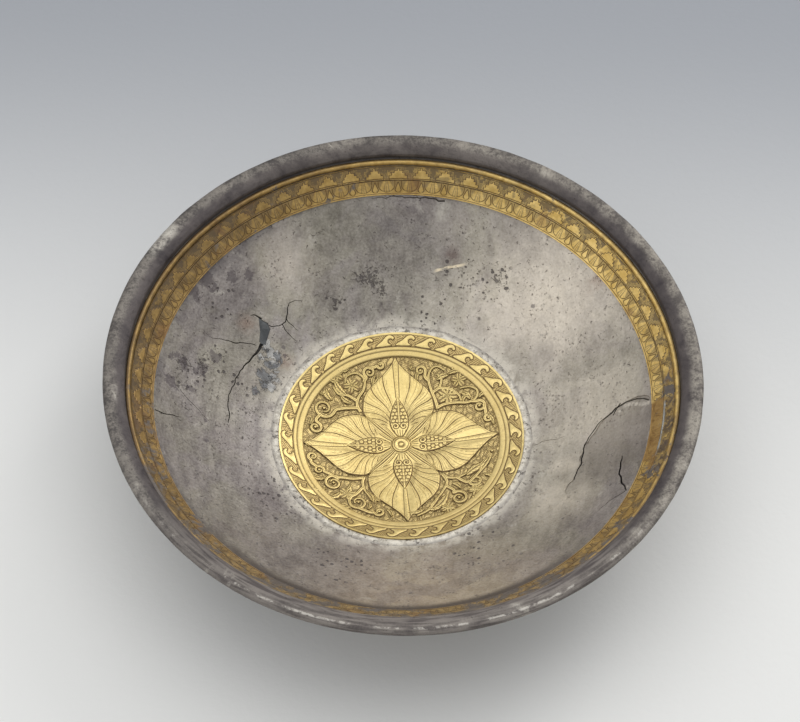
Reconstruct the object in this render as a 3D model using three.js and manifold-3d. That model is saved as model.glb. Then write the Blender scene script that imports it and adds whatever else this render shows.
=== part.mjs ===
import * as THREE from 'three';
import { mergeVertices } from 'three/addons/utils/BufferGeometryUtils.js';
import Module from 'manifold-3d';

// An ancient drinking bowl of raised silver with a gilt frieze inside the lip and a gilt rosette medallion.
// Millimetres, +Z up, the origin under the middle of the flat that the bowl stands on.
// Seen from above, north is +Y: the side of the bowl that lies farthest from the viewer.

// Driving dimensions of the bowl
const rimRadius = 105;
const bowlDepth = 46.9;
const wallThickness = 1.8;
const footFlatRadius = 14;
const lipWidth = 7.6;
const lipLedge = 0.8;
const lipHeight = 4.5;
const lipOutset = 0.7;
const seatGap = 0.2;

// Driving dimensions of the gilt frieze, measured down the slope of the wall from its upper edge
const beadDrop = 1.2;
const beadWidth = 2.3;
const beadHeight = 1.1;
const merlonBandWidth = 5.2;
const tongueBandWidth = 5.5;
const bandThickness = 0.4;

// Driving dimensions of the medallion
const plateRadius = 44.4;
const plateThickness = 0.7;
const borderWidth = 5.1;
const mouldingWidth = 3.7;
const mouldingHeight = 0.7;
const solderWidth = 3;
const borderThickness = 0.25;
const waveCount = 34;
const waveHeight = 0.25;
const waveLength = 3.9;
const rosetteTurn = 5.5;
const bossRadius = 3.4;
const bossHeight = 1.2;
const petalHalfWidth = 13;
const petalEdgeHeight = 0.3;
const petalCrown = 0.5;
const leafLength = 14.2;
const leafHalfWidth = 1.8;
const leafHeight = 0.65;
const calyxLength = 5.6;
const coneLength = 9.6;
const coneHalfWidth = 3.4;
const coneHeight = 1.15;
const stemWidth = 0.9;
const stemHeight = 0.45;

// Driving dimensions of the old damage: a broken piece set back in the wall, and a filled loss
const crackWidth = 0.3;
const fragmentSink = 0.4;

// Facets
const turnSegments = 48;
const wallSteps = 10;
const plateSteps = 4;
const stemStep = 2.3;
const petalSteps = 20;
const weldTolerance = 1e-4;

const degree = Math.PI / 180;
const wasm = await Module();
wasm.setup();

// The wall is a shell between two concentric spheres. Everything that lies on it is placed by plan radius
// and by its rise from the wall's inner face towards the centre of the spheres.
const wallTopRadius = rimRadius - lipWidth + lipLedge;
const innerCurve = (wallTopRadius ** 2 + bowlDepth ** 2) / (2 * bowlDepth);
const outerCurve = innerCurve + wallThickness;
const centreHeight = Math.sqrt(outerCurve ** 2 - footFlatRadius ** 2);
const jointHeight = centreHeight - innerCurve + bowlDepth;
const topAngle = Math.asin(wallTopRadius / innerCurve);

const plateRise = seatGap + plateThickness;
const reliefRise = plateRise + seatGap;
const fieldRadius = plateRadius - borderWidth - mouldingWidth;
const sideGap = seatGap;

const silver = { color: 0x9b938a, roughness: 0.46, metalness: 0.9 };
const paleSilver = { color: 0xc9c4ba, roughness: 0.7, metalness: 0.55 };
const gilt = { color: 0xd9bd6a, roughness: 0.34, metalness: 0.95 };
const deepGilt = { color: 0xb98d3a, roughness: 0.42, metalness: 0.9 };
const fillGrey = { color: 0x75807a, roughness: 0.85, metalness: 0.1 };

// Height of the sphere that lies a given rise above the wall's inner face, at a plan radius
function faceHeight(radius, rise) {
  return centreHeight - Math.sqrt((innerCurve - rise) ** 2 - radius ** 2);
}

// A profile point at an angle from the axis of the spheres
function atAngle(angle, rise) {
  const radius = (innerCurve - rise) * Math.sin(angle);
  return new THREE.Vector2(radius, centreHeight - (innerCurve - rise) * Math.cos(angle));
}

// A profile point at a distance down the slope from the wall's upper edge
function downSlope(distance, rise) {
  return atAngle(topAngle - distance / innerCurve, rise);
}

// A profile point over the medallion, at a plan radius
function atRadius(radius, rise) {
  return new THREE.Vector2(radius, faceHeight(radius, rise));
}

function signedVolume(positions, triangles) {
  let sum = 0;
  const [a, b, c] = [new THREE.Vector3(), new THREE.Vector3(), new THREE.Vector3()];
  for (let i = 0; i < triangles.length; i += 3) {
    a.fromArray(positions, 3 * triangles[i]);
    b.fromArray(positions, 3 * triangles[i + 1]);
    c.fromArray(positions, 3 * triangles[i + 2]);
    sum += a.dot(b.cross(c));
  }
  return sum;
}

// Joins shared vertices, drops triangles without area and turns the faces outwards
function weld(geometry) {
  geometry.deleteAttribute('normal');
  geometry.deleteAttribute('uv');
  const merged = mergeVertices(geometry, weldTolerance);
  const positions = merged.attributes.position.array;
  const kept = [];
  for (let i = 0; i < merged.index.count; i += 3) {
    const [a, b, c] = [0, 1, 2].map((k) => merged.index.getX(i + k));
    if (a !== b && b !== c && c !== a) kept.push(a, b, c);
  }
  if (signedVolume(positions, kept) < 0) kept.reverse();
  merged.setIndex(kept);
  return merged;
}

function solidOf(geometry) {
  const closed = weld(geometry);
  return new wasm.Manifold(new wasm.Mesh({
    numProp: 3,
    vertProperties: new Float32Array(closed.attributes.position.array),
    triVerts: new Uint32Array(closed.index.array),
  }));
}

function geometryOf(solid) {
  const mesh = solid.getMesh();
  const geometry = new THREE.BufferGeometry();
  geometry.setAttribute('position', new THREE.BufferAttribute(mesh.vertProperties, mesh.numProp));
  geometry.setIndex(new THREE.BufferAttribute(mesh.triVerts, 1));
  return geometry;
}

function piece(name, geometry, finish) {
  const body = weld(geometry);
  body.computeVertexNormals();
  const mesh = new THREE.Mesh(body, new THREE.MeshStandardMaterial(finish));
  mesh.name = name;
  return mesh;
}

// A full turn of a profile round the bowl's axis. It starts and ends on the axis or closes on itself.
function turned(profile, segments) {
  return new THREE.LatheGeometry(profile, segments).rotateX(Math.PI / 2);
}

function ring(profile, segments) {
  return turned([...profile, profile[0]], segments);
}

// Points spread evenly from one value to another, both included
function spread(from, to, steps) {
  return Array.from({ length: steps + 1 }, (_, i) => from + ((to - from) * i) / steps);
}

// A closed body from a grid of lower points and a grid of upper points over it
function blanket(rows, columns, lower, upper) {
  const positions = [];
  for (const side of [lower, upper]) {
    for (let i = 0; i <= rows; i += 1) {
      for (let j = 0; j <= columns; j += 1) positions.push(...side(i / rows, j / columns));
    }
  }
  const layer = (rows + 1) * (columns + 1);
  const at = (i, j, side) => side * layer + i * (columns + 1) + j;
  const triangles = [];
  const quad = (a, b, c, d) => triangles.push(a, b, c, a, c, d);
  for (let i = 0; i < rows; i += 1) {
    for (let j = 0; j < columns; j += 1) {
      quad(at(i, j, 1), at(i + 1, j, 1), at(i + 1, j + 1, 1), at(i, j + 1, 1));
      quad(at(i, j, 0), at(i, j + 1, 0), at(i + 1, j + 1, 0), at(i + 1, j, 0));
    }
    quad(at(i, 0, 0), at(i + 1, 0, 0), at(i + 1, 0, 1), at(i, 0, 1));
    quad(at(i + 1, columns, 0), at(i, columns, 0), at(i, columns, 1), at(i + 1, columns, 1));
  }
  for (let j = 0; j < columns; j += 1) {
    quad(at(0, j + 1, 0), at(0, j, 0), at(0, j, 1), at(0, j + 1, 1));
    quad(at(rows, j, 0), at(rows, j + 1, 0), at(rows, j + 1, 1), at(rows, j, 1));
  }
  const geometry = new THREE.BufferGeometry();
  geometry.setAttribute('position', new THREE.Float32BufferAttribute(positions, 3));
  geometry.setIndex(triangles);
  return geometry;
}

// A low relief seated on the medallion: plan(s, t) gives a point, height(s, t) how far it stands up
function relief(rows, columns, plan, height, seat = reliefRise) {
  const lift = (s, t, rise) => {
    const [x, y] = plan(s, t);
    return [x, y, faceHeight(Math.hypot(x, y), rise)];
  };
  return blanket(rows, columns, (s, t) => lift(s, t, seat), (s, t) => lift(s, t, seat + height(s, t)));
}

// A relief between two ends of an axis, with a half-width at each point of the axis
function leafRelief(rows, columns, start, length, halfWidth, height) {
  const plan = (s, t) => [start + s * length, (2 * t - 1) * halfWidth(s)];
  return relief(rows, columns, plan, height);
}

// An upright prism over a plan outline, tall enough to pass through the whole bowl
function prism(outline) {
  const shape = new THREE.Shape(outline.map(([x, y]) => new THREE.Vector2(x, y)));
  const depth = jointHeight + lipHeight + wallThickness;
  const geometry = new THREE.ExtrudeGeometry(shape, { depth, bevelEnabled: false });
  return geometry.translate(0, 0, -wallThickness);
}

// A plan outline moved sideways by a distance, outwards where the distance is above zero
function offset(outline, distance) {
  const area = THREE.ShapeUtils.area(outline.map(([x, y]) => new THREE.Vector2(x, y)));
  const outwards = Math.sign(area) * distance;
  return outline.map(([x, y], i) => {
    const before = outline[(i + outline.length - 1) % outline.length];
    const after = outline[(i + 1) % outline.length];
    const along = Math.hypot(after[0] - before[0], after[1] - before[1]);
    return [
      x + (outwards * (after[1] - before[1])) / along,
      y - (outwards * (after[0] - before[0])) / along,
    ];
  });
}

// A smooth closed outline through a few points
function smoothOutline(points, steps) {
  const knots = points.map(([x, y]) => new THREE.Vector3(x, y, 0));
  const curve = new THREE.CatmullRomCurve3(knots, true, 'centripetal');
  return curve.getPoints(steps).slice(0, -1).map((p) => [p.x, p.y]);
}

function polar(radius, angle) {
  return [radius * Math.cos(angle * degree), radius * Math.sin(angle * degree)];
}

// The raised shell: flat underneath, spherical outside and inside, cut level where the lip sits on it
function wallBlank() {
  const footAngle = Math.asin(footFlatRadius / outerCurve);
  const rimDrop = centreHeight - jointHeight;
  const outerTopAngle = Math.acos(rimDrop / outerCurve);
  const outside = spread(footAngle, outerTopAngle, wallSteps).map((a) => atAngle(a, -wallThickness));
  const inside = spread(topAngle, 0, wallSteps).map((a) => atAngle(a, 0));
  return solidOf(turned([new THREE.Vector2(0, 0), ...outside, ...inside], turnSegments));
}

// Old break at the right side. Each corner: distance in from the frieze, as a share of its radius, and angle
const friezeEdge = downSlope(beadDrop + beadWidth + merlonBandWidth + tongueBandWidth + 3 * sideGap, 0).x;
const fragmentCorners = [
  [0.007, 1.2], [0.084, 3], [0.174, 0.6], [0.24, -5.2], [0.268, -11.4], [0.263, -18.4],
  [0.279, -24.7], [0.214, -30], [0.107, -33], [0.007, -31.5], [0.007, -23], [0.007, -14], [0.007, -6],
];

// Old loss at the upper left, filled level with the wall. Its place and corners are shares of that radius.
const lossDistance = 0.273;
const lossAngle = 143.9;
const lossCorners = [
  [-0.043, 0.023], [-0.032, -0.014], [-0.011, -0.025], [0.062, -0.007], [0.056, 0.015], [0.011, 0.012],
];

function fragmentOutline() {
  const corners = fragmentCorners.map(([inwards, angle]) => polar(friezeEdge * (1 - inwards), angle));
  return smoothOutline(corners, 40);
}

function lossOutline() {
  const [cx, cy] = polar(friezeEdge * (1 - lossDistance), lossAngle);
  return lossCorners.map(([down, across]) => [cx - across * friezeEdge, cy - down * friezeEdge]);
}

function buildWall() {
  const blank = wallBlank();
  const cut = (outline, sign) => solidOf(prism(offset(outline, (sign * crackWidth) / 2)));
  const body = blank.subtract(cut(fragmentOutline(), 1)).subtract(cut(lossOutline(), 1));
  const fragment = piece('mended_fragment', geometryOf(blank.intersect(cut(fragmentOutline(), -1))), silver);
  fragment.position.z = -fragmentSink;
  return [
    piece('bowl_wall', geometryOf(body), silver),
    fragment,
    piece('loss_fill', geometryOf(blank.intersect(cut(lossOutline(), -1))), fillGrey),
  ];
}

// The heavy lip: flat under the rim, round at its outer edge, sloping gently and then steeply to the inside
function buildLip() {
  const outerTopRadius = Math.sqrt(outerCurve ** 2 - (centreHeight - jointHeight) ** 2);
  const bottom = jointHeight + seatGap;
  const inner = rimRadius - lipWidth;
  const top = jointHeight + lipHeight;
  const edgeHeight = top - lipHeight * 0.3;
  const crest = rimRadius - lipWidth * 0.24;
  const section = new THREE.Shape();
  section.moveTo(inner, bottom);
  section.lineTo(outerTopRadius + lipOutset, bottom);
  section.quadraticCurveTo(rimRadius, bottom + (edgeHeight - bottom) * 0.2, rimRadius, edgeHeight);
  section.quadraticCurveTo(rimRadius, top, crest, top);
  const foot = bottom + lipHeight * 0.35;
  section.quadraticCurveTo(inner + lipWidth * 0.25, top - lipHeight * 0.14, inner, foot);
  section.closePath();
  return piece('rim_lip', ring(section.getPoints(3).slice(0, -1), turnSegments), silver);
}

// A half-round gilt wire laid under the lip
function buildBead() {
  const profile = spread(0, 180, 4).map((turn) => {
    const distance = beadDrop + (beadWidth / 2) * (1 - Math.cos(turn * degree));
    return downSlope(distance, seatGap + beadHeight * Math.sin(turn * degree));
  });
  return piece('rim_bead', ring(profile, turnSegments), deepGilt);
}

// A thin gilt strip on the slope of the wall
function buildBand(name, start, width) {
  const rises = [seatGap, seatGap + bandThickness];
  const profile = [
    downSlope(start, rises[0]),
    downSlope(start + width, rises[0]),
    downSlope(start + width, rises[1]),
    downSlope(start, rises[1]),
  ];
  return piece(name, ring(profile, turnSegments), deepGilt);
}

// The dished plate of the medallion, following the bottom of the bowl
function buildPlate() {
  const radii = spread(0, plateRadius, plateSteps);
  const profile = [
    ...radii.map((r) => atRadius(r, seatGap)),
    ...radii.reverse().map((r) => atRadius(r, plateRise)),
  ];
  return piece('medallion_plate', turned(profile, turnSegments), gilt);
}

// The pale fillet of old solder all round the plate
function buildSolder() {
  const start = plateRadius + sideGap;
  const profile = [
    atRadius(start, seatGap),
    atRadius(start + solderWidth, seatGap),
    atRadius(start + solderWidth * 0.6, seatGap + plateThickness * 0.6),
    atRadius(start, plateRise),
  ];
  return piece('solder_ring', ring(profile, turnSegments), paleSilver);
}

// One breaking wave between its root and its tip, with x round the border and y outwards
const waveOutline = [
  [0.16, 0], [0.32, 0.3], [0.26, 0.6], [0.07, 0.53],
  [0, 0.72], [0.1, 0.93], [0.26, 1], [0.5, 0.7], [0.97, 0],
];

// A solid standing on the medallion over a plan outline
function standing(outline, low, high) {
  const contour = outline.map(([x, y]) => new THREE.Vector2(x, y));
  const count = contour.length;
  const positions = [low, high].flatMap((rise) =>
    contour.flatMap((p) => [p.x, p.y, faceHeight(p.length(), rise)]));
  const triangles = THREE.ShapeUtils.triangulateShape(contour, []).flatMap(([a, b, c]) =>
    [a + count, b + count, c + count, c, b, a]);
  contour.forEach((_, i) => {
    const next = (i + 1) % count;
    triangles.push(i, next, next + count, i, next + count, i + count);
  });
  const geometry = new THREE.BufferGeometry();
  geometry.setAttribute('position', new THREE.Float32BufferAttribute(positions, 3));
  geometry.setIndex(triangles);
  return geometry;
}

// The border ring with its running waves, whose crests lean clockwise
function buildWaveBorder() {
  const inner = plateRadius - borderWidth + sideGap;
  const profile = [
    atRadius(inner, reliefRise),
    atRadius(plateRadius, reliefRise),
    atRadius(plateRadius, reliefRise + borderThickness),
    atRadius(inner, reliefRise + borderThickness),
  ];
  const pitch = 360 / waveCount;
  const top = reliefRise + borderThickness;
  const waves = spread(0, waveCount - 1, waveCount - 1).map((k) => {
    const outline = waveOutline.map(([x, y]) => polar(inner + sideGap + y * waveLength, (k + x) * pitch));
    return solidOf(standing(outline, top - borderThickness / 2, top + waveHeight));
  });
  const body = waves.reduce((sum, wave) => sum.add(wave), solidOf(ring(profile, turnSegments)));
  return piece('wave_border', geometryOf(body), gilt);
}

// Two round ribs with a groove between them, frame of the rosette
function buildMoulding() {
  const start = fieldRadius + sideGap;
  const width = mouldingWidth - sideGap;
  const outerRibWidth = width * 0.42;
  const rib = (from, wide, high) => spread(0, 180, 3).map((turn) =>
    atRadius(from + (wide / 2) * (1 - Math.cos(turn * degree)),
      reliefRise + high * (0.25 + 0.75 * Math.sin(turn * degree))));
  const profile = [
    atRadius(start + width, reliefRise),
    atRadius(start, reliefRise),
    ...rib(start, width - outerRibWidth, mouldingHeight),
    ...rib(start + width - outerRibWidth, outerRibWidth, mouldingHeight * 0.85).slice(1),
  ];
  return piece('moulding_ring', ring(profile, turnSegments), gilt);
}

// The boss in the middle: a rounded button with a raised ring and a centre point
function buildBoss() {
  const steps = [
    [0, 1], [0.14, 0.98], [0.26, 0.84], [0.36, 0.84], [0.48, 0.98], [0.62, 0.98],
    [0.76, 0.82], [0.92, 0.7], [1, 0.4],
  ];
  const profile = [
    atRadius(0, reliefRise),
    atRadius(bossRadius, reliefRise),
    ...steps.reverse().map(([out, up]) => atRadius(out * bossRadius, reliefRise + up * bossHeight)),
  ];
  return piece('centre_boss', turned(profile, turnSegments / 2), gilt);
}

// Half-width of a petal along its axis: it opens quickly, swells, and ends in a drawn-out point
const petalStart = bossRadius + sideGap;
const petalLength = fieldRadius - sideGap - petalStart;
const petalShape = new THREE.SplineCurve([
  [0, 0.21], [0.14, 0.52], [0.24, 0.85], [0.32, 0.99], [0.42, 0.99], [0.52, 0.94],
  [0.61, 0.81], [0.69, 0.62], [0.77, 0.42], [0.86, 0.22], [0.93, 0.1], [1, 0.02],
].map(([along, wide]) => new THREE.Vector2(along, wide)));

// Seed cone and calyx lie over the middle of each petal, so the petal is cut out round them
function coneHalfWidthAt(s) {
  return coneHalfWidth * Math.max(0, Math.cos(0.5 * Math.PI * s)) ** 0.9 + 0.05;
}

function calyxHalfWidthAt(s) {
  return coneHalfWidth * (0.33 + 0.68 * Math.sin(0.5 * Math.PI * s));
}

const calyxStart = petalStart + sideGap;
const coneStart = calyxStart + calyxLength + sideGap;
const leafStart = petalStart;

function leafHalfWidthAt(s) {
  return leafHalfWidth * Math.sin(Math.PI * (0.1 + 0.9 * s)) ** 0.9 + 0.04;
}

// The plan outline of a relief that lies along an axis, with a margin all round
function axisOutline(start, length, halfWidth, margin, steps = 7) {
  const upper = spread(0, 1, steps).map((s) => [start + s * length, halfWidth(s) + margin]);
  const lower = upper.map(([x, y]) => [x, -y]).reverse();
  const tip = [start + length + margin, 0];
  const root = [start - margin, 0];
  return [root, ...upper, tip, ...lower];
}

// The plan outline of a petal along its axis, with a margin all round
function petalOutline(margin) {
  const upper = petalShape.getPoints(petalSteps).map((p) =>
    [petalStart + p.x * petalLength, p.y * petalHalfWidth + margin]);
  return [...upper, ...upper.map(([x, y]) => [x, -y]).reverse()];
}

function turnedPrism(outline, angle) {
  return solidOf(prism(outline).rotateZ(angle * degree));
}

// A petal: a low cushion with a raised lobe on each side of a groove that runs out to the tip
function petalGeometry() {
  const height = (s, t) => {
    const across = Math.abs(2 * t - 1);
    const swell = Math.sin(Math.PI * Math.min(1, across * 0.86 + 0.07));
    const rise = Math.sin(Math.PI * Math.min(1, s * 0.9 + 0.1));
    return petalEdgeHeight + petalCrown * Math.max(0, swell * rise);
  };
  const plan = (s, t) => {
    const point = petalShape.getPoint(s);
    return [petalStart + point.x * petalLength, (2 * t - 1) * petalHalfWidth * point.y];
  };
  const cushion = solidOf(relief(10, 6, plan, height));
  const slot = turnedPrism(axisOutline(calyxStart, calyxLength, calyxHalfWidthAt, sideGap), 0)
    .add(turnedPrism(axisOutline(coneStart, coneLength, coneHalfWidthAt, sideGap), 0));
  const leaf = axisOutline(leafStart, leafLength, leafHalfWidthAt, sideGap);
  const body = cushion.subtract(slot).subtract(turnedPrism(leaf, 45)).subtract(turnedPrism(leaf, -45));
  return geometryOf(body);
}

// A round-topped relief, higher in the middle and thin at its outline
function domed(high) {
  return (s, t) => high * (0.35 + 0.65 * Math.sin(Math.PI * t) * Math.sin(Math.PI * (0.15 + 0.75 * s)));
}

function buildRosette() {
  const rosette = new THREE.Group();
  rosette.rotation.z = rosetteTurn * degree;
  ['east', 'north', 'west', 'south'].forEach((side, k) => {
    const quarter = new THREE.Group();
    quarter.rotation.z = k * 90 * degree;
    const cone = leafRelief(8, 4, coneStart, coneLength, coneHalfWidthAt, domed(coneHeight));
    const calyx = leafRelief(5, 4, calyxStart, calyxLength, calyxHalfWidthAt, domed(coneHeight * 0.8));
    quarter.add(
      piece(`petal_${side}`, petalGeometry(), gilt),
      piece(`seed_cone_${side}`, cone, gilt),
      piece(`calyx_${side}`, calyx, gilt),
    );
    rosette.add(quarter);
  });
  ['northeast', 'northwest', 'southwest', 'southeast'].forEach((side, k) => {
    const diagonal = new THREE.Group();
    diagonal.rotation.z = (45 + 90 * k) * degree;
    const leaf = leafRelief(8, 2, leafStart, leafLength, leafHalfWidthAt, domed(leafHeight));
    diagonal.add(piece(`lance_leaf_${side}`, leaf, gilt));
    rosette.add(diagonal);
  });
  return rosette;
}

// The free corner between two petals. A place in it is given by two shares: how far out it lies on the way
// from the lance leaf's tip to the moulding, and how far across from the corner's middle to the petal's edge.
const leafTip = leafStart + leafLength;
const cornerDepth = fieldRadius - leafTip;
const petalEdge = petalOutline(sideGap + stemWidth / 2).slice(0, petalSteps + 1)
  .map(([x, y]) => [Math.hypot(x, y), Math.atan2(y, x) / degree]);

function petalEdgeAngle(radius) {
  const k = petalEdge.findIndex(([reach]) => reach >= radius);
  if (k < 0) return petalEdge.at(-1)[1];
  const [[r0, a0], [r1, a1]] = [petalEdge[k - 1], petalEdge[k]];
  return a0 + ((a1 - a0) * (radius - r0)) / (r1 - r0);
}

function inCorner([out, across], corner) {
  const radius = leafTip + out * cornerDepth;
  return polar(radius, rosetteTurn + corner + across * (45 - petalEdgeAngle(radius)));
}

// A curling tip: points of a spiral that winds in round a centre. Its radius is a share of the corner's
// depth.
function curl(centre, radius, startAngle, turns) {
  const steps = Math.round(Math.abs(turns) * 7);
  return spread(0, 1, steps).map((s) => {
    const [x, y] = polar(radius * cornerDepth * (1 - 0.62 * s), startAngle + 360 * turns * s);
    return [centre[0] + x, centre[1] + y];
  });
}

// A vine stem: a ridge with a sharp crest along a smooth curve on the plate
function ridge(curve) {
  const rows = Math.round(curve.getLength() / stemStep);
  const plan = (s, t) => {
    const point = curve.getPoint(s);
    const along = curve.getTangent(s);
    const side = (t - 0.5) * stemWidth * (1 - 0.35 * s);
    return [point.x - along.y * side, point.y + along.x * side];
  };
  const lift = (x, y, rise) => [x, y, faceHeight(Math.hypot(x, y), rise)];
  const corner = (s, k) => {
    const [x, y] = plan(s, k / 2);
    return lift(x, y, k === 1 ? reliefRise + stemHeight : reliefRise);
  };
  const positions = [];
  for (let i = 0; i <= rows; i += 1) {
    for (let k = 0; k < 3; k += 1) positions.push(...corner(i / rows, k));
  }
  const last = 3 * rows;
  const triangles = [0, 1, 2, last, last + 2, last + 1];
  for (let i = 0; i < rows; i += 1) {
    for (let k = 0; k < 3; k += 1) {
      const [a, b] = [3 * i + k, 3 * i + ((k + 1) % 3)];
      triangles.push(a, a + 3, b + 3, a, b + 3, b);
    }
  }
  const geometry = new THREE.BufferGeometry();
  geometry.setAttribute('position', new THREE.Float32BufferAttribute(positions, 3));
  geometry.setIndex(triangles);
  return solidOf(geometry);
}

// The four vine scrolls fill the corners between the petals and the moulding, each a little different.
// A stem springs from an earlier one of its own corner, at a share of its length, and most end in a curl.
const scrolls = {
  northeast: { corner: 45, stems: [
    { through: [
      [0.13, -0.16], [0.27, 0.98], [0.43, 0.98], [0.65, 0.66],
      [0.83, 0.52], [0.93, 0.43], [0.91, 0.3],
    ] },
    { from: [0, 0.01], through: [
      [0.3, -0.3], [0.5, -0.54], [0.67, -0.43], [0.85, -0.37],
      [0.96, -0.27], [0.91, -0.15], [0.75, -0.07],
    ] },
    { from: [1, 0.46], through: [], curl: [[0.81, -0.53], 0.11, 120, -1.25] },
    { from: [2, 0.29], through: [[0.87, -0.64]], curl: [[0.87, -0.77], 0.07, 130, 1] },
    { from: [0, 0.45], through: [[0.64, 0.75]], curl: [[0.74, 0.73], 0.09, -20, 1.1] },
    { from: [0, 0.28], through: [[0.54, 0.49], [0.73, 0.33], [0.77, 0.43]] },
    { from: [5, 0.29], through: [[0.62, 0.11], [0.64, -0.16], [0.58, -0.4]] },
  ] },
  northwest: { corner: 135, stems: [
    { through: [
      [0.12, -0.15], [0.27, -0.42], [0.39, -0.81], [0.48, -0.98],
      [0.67, -0.63], [0.85, -0.45], [0.89, -0.29], [0.79, -0.21],
    ] },
    { from: [0, 0.53], through: [[0.66, -0.68]], curl: [[0.77, -0.69], 0.11, 240, -1.25] },
    { from: [1, 0.43], through: [[0.84, -0.76]], curl: [[0.86, -0.85], 0.07, 200, 1] },
    { from: [0, 0.09], through: [[0.37, 0.46], [0.52, 0.63]], curl: [[0.75, 0.42], 0.18, -20, -1.2] },
    { from: [3, 0.43], through: [[0.8, 0.64]], curl: [[0.78, 0.81], 0.11, 80, -1.2] },
    { from: [0, 0.21], through: [[0.54, -0.18], [0.7, 0.02], [0.88, -0.01]] },
  ] },
  southwest: { corner: 225, stems: [
    { through: [[0.13, -0.16], [0.26, 0.37], [0.39, 0.8], [0.49, 0.98]] },
    { from: [0, 0], through: [[0.31, -0.64], [0.44, -0.78]], curl: [[0.72, -0.3], 0.16, 60, 1.3] },
    { from: [1, 0.24], through: [[0.66, -0.56]], curl: [[0.83, -0.59], 0.09, -10, 1.1] },
    { from: [2, 0.45], through: [[0.92, -0.71]], curl: [[0.85, -0.84], 0.08, 250, -1.1] },
    { from: [0, 0.5], through: [[0.55, 0.28]], curl: [[0.73, 0.3], 0.17, 110, 1.3] },
    { from: [4, 0.46], through: [[0.87, 0.51]], curl: [[0.79, 0.67], 0.09, 200, 1.1] },
  ] },
  southeast: { corner: 315, stems: [
    { through: [[0.13, -0.16], [0.27, -0.01], [0.42, 0.32], [0.52, 0.55]] },
    { from: [0, 0], through: [[0.33, -0.46], [0.43, -0.91], [0.53, -0.98], [0.66, -0.84]] },
    { from: [1, 0.37], through: [[0.57, -0.27]], curl: [[0.81, -0.22], 0.15, 130, -1.3] },
    { from: [0, 0.67], through: [[0.63, 0.13]], curl: [[0.78, 0.21], 0.11, 190, 1.2] },
    { from: [3, 0.15], through: [[0.74, 0.37], [0.82, 0.54], [0.86, 0.69]] },
    { from: [1, 0.8], through: [[0.76, -0.8], [0.86, -0.93]] },
  ] },
};

function stemCurves(corner, stems) {
  const curves = [];
  for (const { from, through, curl: tip } of stems) {
    const points = through.map((place) => inCorner(place, corner));
    if (from) {
      const start = curves[from[0]].getPoint(from[1]);
      points.unshift([start.x, start.y]);
    }
    if (tip) points.push(...curl(inCorner(tip[0], corner), ...tip.slice(1)));
    const knots = points.map(([x, y]) => new THREE.Vector3(x, y, 0));
    curves.push(new THREE.CatmullRomCurve3(knots, false, 'centripetal'));
  }
  return curves;
}

function buildScrolls() {
  const petals = [0, 90, 180, 270]
    .map((turn) => turnedPrism(petalOutline(sideGap), rosetteTurn + turn))
    .reduce((sum, petal) => sum.add(petal));
  return Object.entries(scrolls).map(([side, { corner, stems }]) => {
    const body = stemCurves(corner, stems).map(ridge).reduce((sum, stem) => sum.add(stem)).subtract(petals);
    return piece(`vine_scroll_${side}`, geometryOf(body), gilt);
  });
}

const bowl = new THREE.Group();
const merlonStart = beadDrop + beadWidth + sideGap;
const tongueStart = merlonStart + merlonBandWidth + sideGap;
bowl.add(
  ...buildWall(),
  buildLip(),
  buildBead(),
  buildBand('merlon_band', merlonStart, merlonBandWidth),
  buildBand('tongue_band', tongueStart, tongueBandWidth),
  buildPlate(),
  buildSolder(),
  buildWaveBorder(),
  buildMoulding(),
  buildBoss(),
  buildRosette(),
  ...buildScrolls(),
);

export default bowl;
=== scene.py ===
import math

import bmesh
import bpy
from mathutils import Matrix, Vector, noise


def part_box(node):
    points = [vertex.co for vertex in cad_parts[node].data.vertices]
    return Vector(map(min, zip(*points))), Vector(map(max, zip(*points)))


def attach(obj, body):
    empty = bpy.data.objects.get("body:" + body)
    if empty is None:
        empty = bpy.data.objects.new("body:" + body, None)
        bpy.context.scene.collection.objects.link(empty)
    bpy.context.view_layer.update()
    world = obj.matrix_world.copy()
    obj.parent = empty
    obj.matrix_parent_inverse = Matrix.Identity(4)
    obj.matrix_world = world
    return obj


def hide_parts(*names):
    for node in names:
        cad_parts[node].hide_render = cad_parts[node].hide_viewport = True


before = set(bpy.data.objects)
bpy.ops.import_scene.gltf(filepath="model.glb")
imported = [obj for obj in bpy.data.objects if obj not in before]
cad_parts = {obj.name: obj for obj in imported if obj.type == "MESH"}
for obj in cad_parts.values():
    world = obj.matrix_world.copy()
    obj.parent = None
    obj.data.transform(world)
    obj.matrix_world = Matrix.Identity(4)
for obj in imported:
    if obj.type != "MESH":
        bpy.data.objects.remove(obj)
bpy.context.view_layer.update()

# The studio: a pale floor, soft light from above and behind, and a long lens looking down into the bowl.
# The bowl stands on the floor, so its lowest point is at height zero.
MM = 0.001
RIM_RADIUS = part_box("rim_lip")[1].x
LIP_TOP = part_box("rim_lip")[1].z
LIP_CREST = 1.3 * MM
RIM_PLANE = LIP_TOP - LIP_CREST
CAMERA_ELEVATION = math.radians(55.87)
CAMERA_ROLL = math.radians(1.91)
CAMERA_DISTANCE = 9 * RIM_RADIUS
CAMERA_LENS = 121.6
CAMERA_SHIFT = (-0.0045, 0.01125)
SCENE = bpy.context.scene


def make_camera():
    camera = bpy.data.cameras.new("camera")
    camera.lens = CAMERA_LENS
    camera.shift_x, camera.shift_y = CAMERA_SHIFT
    camera.clip_end = 20
    holder = bpy.data.objects.new("camera", camera)
    back = Vector((0, -math.cos(CAMERA_ELEVATION), math.sin(CAMERA_ELEVATION)))
    holder.location = Vector((0, 0, RIM_PLANE)) + back * CAMERA_DISTANCE
    turn = back.to_track_quat("Z", "Y").to_matrix() @ Matrix.Rotation(CAMERA_ROLL, 3, "Z")
    holder.rotation_euler = turn.to_euler()
    SCENE.collection.objects.link(holder)
    SCENE.camera = holder


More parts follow.
